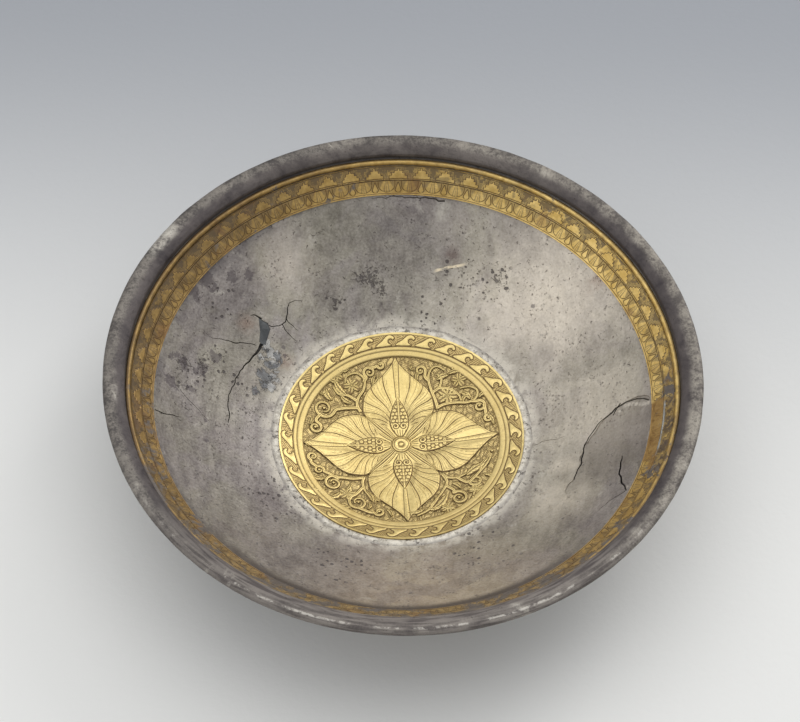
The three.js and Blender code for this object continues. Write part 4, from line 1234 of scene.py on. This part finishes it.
def skirt(shape, marks, seat):
    """Turns an open relief into a closed body whose underside follows the dished plate."""
    layer = pattern_layer(shape)
    under = bmesh.ops.extrude_face_region(shape, geom=shape.faces[:])["geom"]
    for vert in (g for g in under if isinstance(g, bmesh.types.BMVert)):
        vert.co = on_face(vert.co.x, vert.co.y, seat - 0.12 * MM)
    for face in shape.faces:
        for loop in face.loops:
            loop[layer].uv = marks.get(loop.vert, (0.5, 0.0))
    bmesh.ops.remove_doubles(shape, verts=shape.verts, dist=1e-7)
    bmesh.ops.recalc_face_normals(shape, faces=shape.faces)
    return shape


def laid(rows, columns, place, seat):
    """A fine grid laid over the plate. place(s, t), with both from 0 to 1, gives its plan point, its height
    and its pattern coordinates."""
    shape = bmesh.new()
    bmesh.ops.create_grid(shape, x_segments=rows, y_segments=columns, size=0.5)
    marks = {}
    for vert in shape.verts:
        x, y, height, u, v = place(vert.co.x + 0.5, vert.co.y + 0.5)
        marks[vert] = (u, v)
        vert.co = on_face(x, y, seat + height)
    return skirt(shape, marks, seat)


def laid_round(rings, turns, place, seat):
    """The same from a round grid: place(s, angle), with s from 0 in the middle to 1 at the rim."""
    shape = bmesh.new()
    verts = [shape.verts.new((s, 0, 0)) for s in spread(0, 1, rings)]
    edges = [shape.edges.new(pair) for pair in zip(verts, verts[1:])]
    bmesh.ops.spin(shape, geom=verts + edges, axis=(0, 0, 1), cent=(0, 0, 0),
                   angle=2 * math.pi, steps=turns, use_merge=True)
    bmesh.ops.remove_doubles(shape, verts=shape.verts, dist=1e-5)
    marks = {}
    for vert in shape.verts:
        x, y, height, u, v = place(vert.co.length, math.atan2(vert.co.y, vert.co.x))
        marks[vert] = (u, v)
        vert.co = on_face(x, y, seat + height)
    return skirt(shape, marks, seat)


def turned_plan(along, across, degrees):
    angle = math.radians(degrees)
    return (along * math.cos(angle) - across * math.sin(angle),
            along * math.sin(angle) + across * math.cos(angle))


CALYX_LENGTH = 5.6 * MM
CALYX_START = PETAL_START + SEAT_GAP
CONE_START = CALYX_START + CALYX_LENGTH - 0.1 * MM
CONE_LENGTH = 10.4 * MM
CONE_HALF_WIDTH = 3.55 * MM
CONE_END = CONE_START + CONE_LENGTH
STEM_HALF_WIDTH = 0.6 * MM


def cone_half_width(s):
    return CONE_HALF_WIDTH * max(0.0, math.cos(0.5 * math.pi * s)) ** 0.9 + 0.04 * MM


def calyx_half_width(s):
    return CONE_HALF_WIDTH * (0.33 + 0.68 * math.sin(0.5 * math.pi * s))


def core_half_width(along):
    """Half the width of the calyx, cone or stem that lies on a petal's middle."""
    if along < CONE_START:
        return calyx_half_width((along - CALYX_START) / CALYX_LENGTH)
    return max(STEM_HALF_WIDTH, cone_half_width(min(1, (along - CONE_START) / CONE_LENGTH)))


VEIN_FOCUS = 6.5 * MM
VEIN_STEP = math.radians(13)
VEIN_BEND = 0.15
VEIN_WAVE = 3.6 * MM


def vein_number(along, across):
    """Which vein passes a place: whole numbers lie on veins, which bend twice as they run out."""
    reach = math.hypot(along - VEIN_FOCUS, across)
    angle = math.atan2(abs(across), along - VEIN_FOCUS)
    return (angle + VEIN_BEND * math.sin(reach / VEIN_WAVE) * angle) / VEIN_STEP, reach


def petal_place(degrees):
    def place(s, t):
        along = PETAL_START + s * PETAL_LENGTH
        half = petal_half_width(s)
        q = 2 * t - 1
        across = q * half
        lobe = math.sin(math.pi * min(1, abs(q) * 0.86 + 0.07)) * math.sin(math.pi * min(1, s * 0.9 + 0.1))
        beside = min(1, max(0, abs(across) - core_half_width(along)) / (2.4 * MM))
        height = (0.18 + (0.06 + 0.36 * max(0, lobe)) * beside * beside * (3 - 2 * beside)) * MM
        number, reach = vein_number(along, across)
        away = abs((number + 0.5) % 1 - 0.5) * VEIN_STEP * reach
        if reach > 5 * MM and abs(q) < 0.985 and number > 0.6:
            height -= 0.1 * MM * math.exp(-((away / (0.2 * MM)) ** 2))
        if along > CONE_END:
            height += 0.16 * MM * math.exp(-((across / (0.5 * MM)) ** 2))
        if abs(q) > 0.95:
            height -= 0.14 * MM * (abs(q) - 0.95) / 0.05
        x, y = turned_plan(along, across, degrees)
        return x, y, height, along / MM / 40, across / MM / 40 + 0.5
    return place


def petal_lines(gilt):
    u, v = gilt.uv()
    along, across = u * 40, abs(v - 0.5) * 40
    run = along - VEIN_FOCUS / MM
    reach = (run * run + across * across) ** 0.5
    angle = gilt.node("Math", {"operation": "ARCTAN2"}, {0: across, 1: run})
    number = angle * (1 + (reach / (VEIN_WAVE / MM)).math("SINE") * VEIN_BEND) / VEIN_STEP
    to_mm = reach * VEIN_STEP
    main = (number.to_line() * to_mm).rises(0.24, 0.08)
    beside = abs(number.to_line() * to_mm - 0.55).rises(0.13, 0.03) * 0.35
    second = ((number + 0.5).to_line() * to_mm).rises(0.16, 0.04) * 0.5
    started = reach.rises(3.5, 6) * number.rises(0.55, 0.75)
    faded = gilt.cloud(0.004, 3).rises(0.36, 0.56)
    dashes = gilt.cloud(0.0005, 2).rises(0.4, 0.5)
    fine_run = ((number * 4).to_line() * to_mm / 4).rises(0.16, 0.05) * gilt.cloud(0.005, 2).rises(0.4, 0.52) * dashes * 0.5
    veins = main.math("MAXIMUM", beside).math("MAXIMUM", second) * (0.55 + faded * 0.45)
    veins = veins.math("MAXIMUM", fine_run) * started
    beyond = along.rises(19, 20)
    opening = (along - 19).math("MAXIMUM", 0.0) * 0.03
    stem = abs(across - 0.62 - opening).rises(0.22, 0.06) * beyond * 0.85
    chevrons = ((along * 0.8 + across * 1.3).to_line()).rises(0.16, 0.05) * beyond * across.rises(0.4, 0.34) * 0.3
    edge = gilt.node("UVMap", {"uv_map": "edge"}, output="UV")
    close = gilt.node("SeparateXYZ", values={0: edge}, output="X")
    rim = close.rises(0.91, 0.95).math("MAXIMUM", abs(close - 0.8).rises(0.03, 0.008) * 0.4)
    clear = across.rises(0.5, 0.7).math("MAXIMUM", 1 - beyond)
    strong = (veins * clear).math("MAXIMUM", stem).math("MAXIMUM", rim)
    return strong.math("MAXIMUM", chevrons) * 0.9


def edge_layer(shape, measure):
    """A second set of pattern coordinates: how close each place is to the outline, 1 on it."""
    layer = shape.loops.layers.uv.new("edge")
    for face in shape.faces:
        for loop in face.loops:
            loop[layer].uv = (measure(loop.vert.co), 0.5)


def petal_shape(degrees):
    shape = laid(130, 96, petal_place(degrees), RELIEF_RISE)

    def closeness(point):
        along, across = turned_plan(point.x, point.y, -degrees)
        share = (along - PETAL_START) / PETAL_LENGTH
        half = petal_half_width(share)
        return 1 - max(0.0, half - abs(across)) / (5 * MM)

    edge_layer(shape, closeness)
    return shape


PETAL_FINISH = relief_finish("petal_gilding", petal_lines)
SIDES = ["east", "north", "west", "south"]
for k, side in enumerate(SIDES):
    shown(petal_shape(ROSETTE_TURN + 90 * k), f"veined_petal_{side}", PETAL_FINISH, [f"petal_{side}"], 60)

# Between the petals lie narrow lance leaves with a middle rib.
LEAF_LENGTH = 14.2 * MM
LEAF_HALF_WIDTH = 2.05 * MM
LEAF_HEIGHT = 0.4 * MM


def leaf_place(degrees):
    def place(s, t):
        half = LEAF_HALF_WIDTH * math.sin(math.pi * (0.18 + 0.82 * s)) ** 0.9 + 0.04 * MM
        q = 2 * t - 1
        rib = math.exp(-((q / 0.16) ** 2)) * 0.16 * MM
        height = LEAF_HEIGHT * (0.45 + 0.55 * math.sin(math.pi * t)) + rib * 0.6 + 0.15 * MM
        if abs(q) > 0.9:
            height -= 0.25 * MM * (abs(q) - 0.9) / 0.1
        x, y = turned_plan(PETAL_START + s * LEAF_LENGTH, q * half, degrees)
        return x, y, height, s, t
    return place


def leaf_lines(gilt):
    u, v = gilt.uv()
    q = abs(v - 0.5) * 2
    ribs = abs(q - 0.22).rises(0.15, 0.05).math("MAXIMUM", abs(q - 0.6).rises(0.1, 0.03) * 0.6)
    return ribs.math("MAXIMUM", q.rises(0.76, 0.88)) * 0.9


LEAF_FINISH = relief_finish("leaf_gilding", leaf_lines)
for k, side in enumerate(["northeast", "northwest", "southwest", "southeast"]):
    shown(laid(48, 20, leaf_place(ROSETTE_TURN + 45 + 90 * k), RELIEF_RISE), f"lance_leaf_{side}_gilt", LEAF_FINISH,
          [f"lance_leaf_{side}"], 60)

# Each seed cone is covered with small round seeds and sits in a calyx that ends in two curls.
SEED_PITCH = 1.45 * MM


def seed(along, across):
    """Round seeds in staggered rows: 1 at the top of each and 0 between them."""
    row = along / SEED_PITCH
    column = across / SEED_PITCH + 0.5 * (math.floor(row) % 2)
    sideways = (column % 1 - 0.5) * 2
    lengthways = (row % 1 - 0.5) * 2
    return max(0.0, 1 - sideways * sideways - lengthways * lengthways) ** 0.5


def cone_place(degrees):
    def place(s, t):
        half = cone_half_width(s)
        q = 2 * t - 1
        dome = math.sqrt(max(0, 1 - q * q)) * (1 - 0.4 * s)
        rim = min(1, (1 - abs(q)) / 0.2)
        height = (0.36 + 0.26 * dome + 0.14 * seed(s * CONE_LENGTH, q * half) * rim * (1 - 0.5 * s)) * MM
        x, y = turned_plan(CONE_START + s * CONE_LENGTH, q * half, degrees)
        return x, y, height * (1 - 0.2 * s**4), s, q * half / MM / 10 + 0.5
    return place


def cone_lines(gilt):
    u, v = gilt.uv()
    across = abs(v - 0.5) * 10
    half = (u * (math.pi / 2)).math("COSINE").math("MAXIMUM", 0.0) ** 0.9 * (CONE_HALF_WIDTH / MM) + 0.04
    inside = half - across
    pitch = SEED_PITCH / MM
    row = u * (CONE_LENGTH / SEED_PITCH)
    column = (v - 0.5) * (10 / pitch) + (row.math("FLOOR") / 2).fraction()
    sideways = (column.fraction() - 0.5) * 2
    along = (row.fraction() - 0.5) * 2
    far = sideways * sideways + along * along
    seeds = far.rises(0.45, 1.0).math("MAXIMUM", far.rises(0.1, 0.02) * 0.4) * 0.85
    rib = abs(across - 0.36).rises(0.2, 0.06) * 0.75
    seeds = (seeds * across.rises(0.34, 0.44)).math("MAXIMUM", rib) * inside.rises(0.5, 0.7)
    limit = (half * 0.5).math("MINIMUM", 0.42)
    outline = (inside / limit).rises(1.0, 0.75)
    return seeds.math("MAXIMUM", outline) * 0.95


def calyx_place(degrees):
    def place(s, t):
        half = calyx_half_width(s)
        q = 2 * t - 1
        height = (0.3 + 0.24 * math.sqrt(max(0, 1 - q * q))) * MM + 0.08 * MM * s
        for centre in (-1.45, 1.45):
            away = math.hypot((s - 0.72) * CALYX_LENGTH, q * half - centre * MM)
            height += 0.14 * MM * math.exp(-((away / (0.9 * MM)) ** 2))
        x, y = turned_plan(CALYX_START + s * CALYX_LENGTH, q * half, degrees)
        return x, y, height, s * CALYX_LENGTH / MM / 10, q * half / MM / 10 + 0.5
    return place


def calyx_lines(gilt):
    u, v = gilt.uv()
    along, across = u * 10, abs(v - 0.5) * 10
    away_along, away_across = along - 0.72 * CALYX_LENGTH / MM, across - 1.45
    away = (away_along * away_along + away_across * away_across) ** 0.5
    angle = gilt.node("Math", {"operation": "ARCTAN2"}, {0: away_along, 1: away_across}) / (2 * math.pi)
    coil = (away / 0.85 + angle).to_line().rises(0.26, 0.1) * away.rises(1.6, 1.5)
    eye = away.rises(0.42, 0.3)
    ribs = (across / (0.7 + along * 0.16)).to_line().rises(0.2, 0.07) * along.rises(2.8, 2.2) * 0.8
    full = ((u * (10 * MM / CALYX_LENGTH * math.pi / 2)).math("SINE") * 0.68 + 0.33) * (CONE_HALF_WIDTH / MM)
    outline = (full - across).rises(0.4, 0.26)
    top = u.rises(0.53, 0.55)
    return coil.math("MAXIMUM", eye).math("MAXIMUM", ribs).math("MAXIMUM", outline).math("MAXIMUM", top) * 0.95


CONE_FINISH = relief_finish("cone_gilding", cone_lines)
CALYX_FINISH = relief_finish("calyx_gilding", calyx_lines)
for k, side in enumerate(SIDES):
    turn = ROSETTE_TURN + 90 * k
    shown(laid(90, 64, cone_place(turn), RELIEF_RISE), f"beaded_cone_{side}", CONE_FINISH, [f"seed_cone_{side}"], 60)
    shown(laid(40, 40, calyx_place(turn), RELIEF_RISE), f"curled_calyx_{side}", CALYX_FINISH, [f"calyx_{side}"], 60)

# In the four corners vine stems branch and curl, each corner a little different, with small leaves.
STEM_WIDTH = 1.75 * MM
STEM_HEIGHT = 0.3 * MM


def curl(centre, radius, start, turns):
    """Points of a tip that winds in round a centre, in millimetres."""
    steps = round(abs(turns) * 12)
    return [tuple(Vector(centre) + polar(radius * 1.2 * (1 - 0.66 * s), start + 360 * turns * s)) for s in spread(0, 1, steps)]


SCROLLS = {
    "northeast": [
        [(13, 15.4), (11.9, 19.2), (10.2, 23.4), (9.2, 27.8), (10.2, 31), (12.4, 32), (15.2, 30.4)],
        [(12.7, 15.7), (15.6, 17.2), (20, 17.6), (24, 17.4), (26.9, 19), (27.2, 22), (24.4, 23.6), (20.9, 23.2)],
        [(25, 17.8), *curl((28.2, 15.6), 1.9, 120, -1.25)],
        [(29.8, 16.2), (30.4, 13.4), *curl((31.6, 10.4), 1.3, 130, 1)],
        [(9.4, 26.6), (8, 28), *curl((6.2, 30.4), 1.6, -20, 1.1)],
        [(11, 22), (13.4, 24), (14, 27.4), (12.2, 29)],
        [(13.1, 23.6), (17, 23.2), (20.4, 20.8), (21.4, 18.2)],
    ],
    "northwest": [
        [(-15.2, 12.8), (-16.6, 15.4), (-16.2, 18.6), (-14.4, 22), (-14.4, 26), (-17.4, 28), (-20.8, 26.4), (-21.4, 23.6)],
        [(-14.6, 24.8), (-13.8, 26.2), *curl((-12.6, 28.8), 1.9, 240, -1.25)],
        [(-12.9, 30.3), (-10.6, 31), *curl((-8.6, 32), 1.2, 200, 1)],
        [(-16, 14.4), (-20.2, 13.8), (-24, 12.6), *curl((-28.6, 12.4), 3.2, -20, -1.2)],
        [(-29.5, 9.9), (-31.2, 7.6), *curl((-31.4, 4), 2, 80, -1.2)],
        [(-16.4, 16.9), (-20, 18.8), (-23.6, 19), (-25.6, 21.4)],
    ],
    "southwest": [
        [(-13, -15.4), (-13.4, -18), (-12.4, -21.4), (-10.4, -24.4)],
        [(-13, -15.4), (-16.6, -16.4), (-19.6, -16.4), *curl((-23.8, -19.4), 2.8, 60, 1.3)],
        [(-21.9, -17.4), (-25, -15.6), *curl((-29.2, -14.4), 1.6, -10, 1.1)],
        [(-29.7, -13.3), (-32, -11.8), *curl((-31.8, -8.8), 1.5, 250, -1.1)],
        [(-12.9, -19.6), (-15.2, -23), *curl((-14.6, -27.2), 3, 110, 1.3)],
        [(-14.6, -29.8), (-10.4, -31.6), *curl((-7, -31), 1.6, 200, 1.1)],
    ],
    "southeast": [
        [(15.4, -13), (17.4, -14.4), (20.6, -14.6), (23.6, -13.2)],
        [(15.4, -13), (17, -16.4), (15.8, -20), (14, -23.4), (11.2, -27.4)],
        [(16.4, -18), (19.4, -20.2), *curl((21.4, -24), 2.6, 130, -1.3)],
        [(20.6, -14.6), (23.6, -16.8), *curl((27.2, -16.4), 2, 190, 1.2)],
        [(24.6, -17.6), (28, -13.4), (31, -9.6), (32.6, -6.2)],
        [(13.6, -24), (10.6, -29.4), (6.6, -32.4)],
    ],
}
# Each small leaf: where it starts in plan, its direction in degrees, its length and its width
SMALL_LEAVES = {
    "northeast": [(21.5, 21.5, -40, 4.5, 2.6), (12.4, 27, 20, 4.5, 2.6), (5, 26.5, 75, 4, 1.8),
                  (30.6, 12.4, -60, 6, 1.8), (27.8, 19, 30, 3.6, 2), (16.5, 29, 10, 4.5, 2.2),
                  (22, 17.6, 60, 3.5, 2), (3.6, 30.5, 110, 2.6, 1.4)],
    "northwest": [(-21, 19, 130, 6.5, 3), (-26, 16, 120, 5, 2.8), (-18.5, 16, 150, 5, 2.4),
                  (-9, 28, -120, 5, 1.8), (-33, 8, -100, 3.5, 1.6), (-11, 24, 80, 4, 1.8),
                  (-23.5, 24, 170, 4.5, 2), (-27, 19.6, 200, 4, 1.8), (-20, 29.6, 200, 4, 1.6)],
    "southwest": [(-21, -23.4, -140, 5, 2.6), (-12, -22, -60, 5, 2.2), (-27, -18, 170, 5, 2.4),
                  (-17, -30, 170, 5.5, 2.4), (-4.4, -29.6, -60, 4, 1.8), (-26.4, -22.4, 190, 4.5, 2),
                  (-17.6, -19, -120, 4, 1.8), (-33.4, -4.6, 100, 3, 1.4), (-10.6, -27, -100, 3.4, 1.6)],
    "southeast": [(24, -13.6, 35, 8, 3.4), (17, -22.6, -125, 8, 3.4), (24.6, -20.4, -10, 5, 2.4),
                  (20, -28.4, 170, 5, 2.4), (28.6, -12, 60, 6, 2), (9, -29, -160, 6, 2),
                  (19, -17, -40, 4, 2.2), (15, -28, 190, 5, 2.2), (30.4, -14, -30, 4, 1.8)],
}
# Each vine leaf: its middle in plan, the direction of its tip in degrees and its reach
VINE_LEAVES = {
    "northeast": [(16.4, 20.6, 70, 4.3), (20.4, 26.4, 20, 3.2)],
    "northwest": [(-19, 23, 120, 3.4), (-24.6, 26.2, 190, 2.8)],
    "southwest": [(-18.6, -23.6, -70, 3.6), (-8.6, -24.6, -100, 2.6)],
    "southeast": [(27.6, -20.6, -30, 3.4), (17.6, -28.4, -150, 3.2)],
}
BUDS = {
    "northeast": [(6.2, 30.4), (31.6, 10.4), (28.2, 15.6), (23.6, 20.4), (18, 31)],
    "northwest": [(-12.6, 28.8), (-8.6, 32), (-31.4, 4), (-28.6, 12.4), (-29, 18.6)],
    "southwest": [(-31.8, -8.8), (-29.2, -14.4), (-7, -31), (-14.6, -27.2), (-23.8, -19.4)],
    "southeast": [(28.6, -17), (21.4, -24), (26.4, -24.4), (13, -29.4), (33, -4)],
}


def stem_shape(path):
    spine = smooth_path(plan(path), 4)
    count = len(spine) - 1

    def place(s, t):
        i = min(int(s * count + 0.5), count)
        along = (spine[min(i + 1, count)] - spine[max(i - 1, 0)]).normalized()
        side = (t - 0.5) * STEM_WIDTH * (1 - 0.5 * s)
        height = STEM_HEIGHT * (0.35 + 0.65 * math.sin(math.pi * t) ** 0.7)
        return spine[i].x - along.y * side, spine[i].y + along.x * side, height, s, t
    return laid(count, 6, place, RELIEF_RISE)


def small_leaf_shape(x, y, degrees, length, width):
    def place(s, t):
        q = 2 * t - 1
        lobes = 0.8 + 0.2 * abs(math.sin(math.pi * 3 * s))
        half = width / 2 * MM * math.sin(math.pi * (0.06 + 0.92 * s)) ** 0.7 * lobes + 0.05 * MM
        bend = 0.6 * MM * math.sin(math.pi * s)
        dx, dy = turned_plan(s * length * MM, q * half + bend, degrees)
        height = (0.14 + 0.24 * math.sin(math.pi * t) - 0.14 * math.exp(-((q / 0.12) ** 2))) * MM
        return x * MM + dx, y * MM + dy, height, 4 + s, t
    return laid(24, 12, place, RELIEF_RISE)


def vine_leaf_shape(x, y, degrees, size):
    """A leaf with five lobes, each with a vein along its middle."""
    def place(s, angle):
        lobe = abs(math.cos(2.5 * angle))
        reach = size * MM * s * (0.42 + 0.58 * lobe**0.8) * (1 + 0.08 * math.cos(25 * angle))
        dx, dy = turned_plan(reach * math.cos(angle), reach * math.sin(angle), degrees)
        vein = math.exp(-(((1 - lobe) / 0.04) ** 2)) * 0.15 * min(1, 3 * s)
        return x * MM + dx, y * MM + dy, (0.3 - 0.1 * s * s - vein) * MM, 2 + min(1, (1 - lobe) * 2), 0.5 + 0.5 * s
    return laid_round(7, 60, place, RELIEF_RISE)


def bud_shape(x, y):
    def place(s, angle):
        reach = 0.7 * MM * s
        dome = 0.4 * MM * math.sqrt(max(0, 1 - s * s)) + 0.08 * MM
        return x * MM + reach * math.cos(angle), y * MM + reach * math.sin(angle), dome, 1 - s, 0.5 + 0.5 * s
    return laid_round(5, 20, place, RELIEF_RISE)


def scroll_lines(gilt):
    """The pattern's u is 0 to 1 on stems and buds, from 2 across a lobe of a vine leaf and from 4 along a
    small leaf. v is half at the middle and 0 or 1 at the outline of each."""
    u, v = gilt.uv()
    q = abs(v - 0.5) * 2
    stems = u.rises(1.5, 1.4) * v.rises(0.0, 0.02)
    lobed = u.rises(1.9, 2.0) * u.rises(3.5, 3.4)
    small = u.rises(3.9, 4.0)
    edge = 0.62 + lobed * 0.25 + small * 0.12
    outline = ((q - edge) / 0.1).rises(-1.0, 1.0) * 0.9
    outline = outline.math("MAXIMUM", stems * q.rises(0.2, 0.08) * 0.5)
    veins = (u - 2).rises(0.12, 0.04) * q.rises(0.06, 0.12) * 0.8
    side_veins = (q * 3 - u * 2).to_line().rises(0.24, 0.1) * 0.5
    midrib = q.rises(0.2, 0.08) * 0.85
    ribs = ((u - 4) * 6 - q * 1.5).to_line().rises(0.2, 0.08) * 0.45
    inner = lobed * veins.math("MAXIMUM", side_veins)
    inner = inner.math("MAXIMUM", small * midrib.math("MAXIMUM", ribs))
    return outline.math("MAXIMUM", inner)


SCROLL_FINISH = relief_finish("scroll_gilding", scroll_lines)
for side, stems in SCROLLS.items():
    corner = bmesh.new()
    pattern_layer(corner)
    for path in stems:
        join(corner, stem_shape(path))
    for leaf in SMALL_LEAVES[side]:
        join(corner, small_leaf_shape(*leaf))
    for leaf in VINE_LEAVES[side]:
        join(corner, vine_leaf_shape(*leaf))
    for bud in BUDS[side]:
        join(corner, bud_shape(*bud))
    shown(corner, f"vine_scroll_{side}_gilt", SCROLL_FINISH, [f"vine_scroll_{side}"], 60)

# The boss in the middle is a turned button: a ring round a centre point.
BOSS_STEPS = [
    (0, 1), (0.12, 0.98), (0.22, 0.86), (0.3, 0.8), (0.4, 0.86), (0.52, 0.98), (0.62, 0.98),
    (0.72, 0.88), (0.82, 0.84), (0.92, 0.72), (1, 0.5), (1.1, 0.3),
]


def boss_shape():
    smooth = smooth_path(BOSS_STEPS[::-1], 4)
    points = [at_radius(0, RELIEF_RISE - 0.1 * MM), at_radius(BOSS_RADIUS * 1.1, RELIEF_RISE - 0.1 * MM)]
    points += [at_radius(BOSS_RADIUS * p.x, RELIEF_RISE + BOSS_HEIGHT * p.y) for p in smooth]
    return spin_profile(points, 96)


def boss_lines(gilt):
    share = gilt.radius() / BOSS_RADIUS
    rings = abs(share - 0.3).rises(0.09, 0.03).math("MAXIMUM", abs(share - 0.78).rises(0.08, 0.02))
    return rings.math("MAXIMUM", abs(share - 1).rises(0.07, 0.02)) * 0.75


shown(boss_shape(), "turned_boss", relief_finish("boss_gilding", boss_lines, shine=0.3), ["centre_boss"])
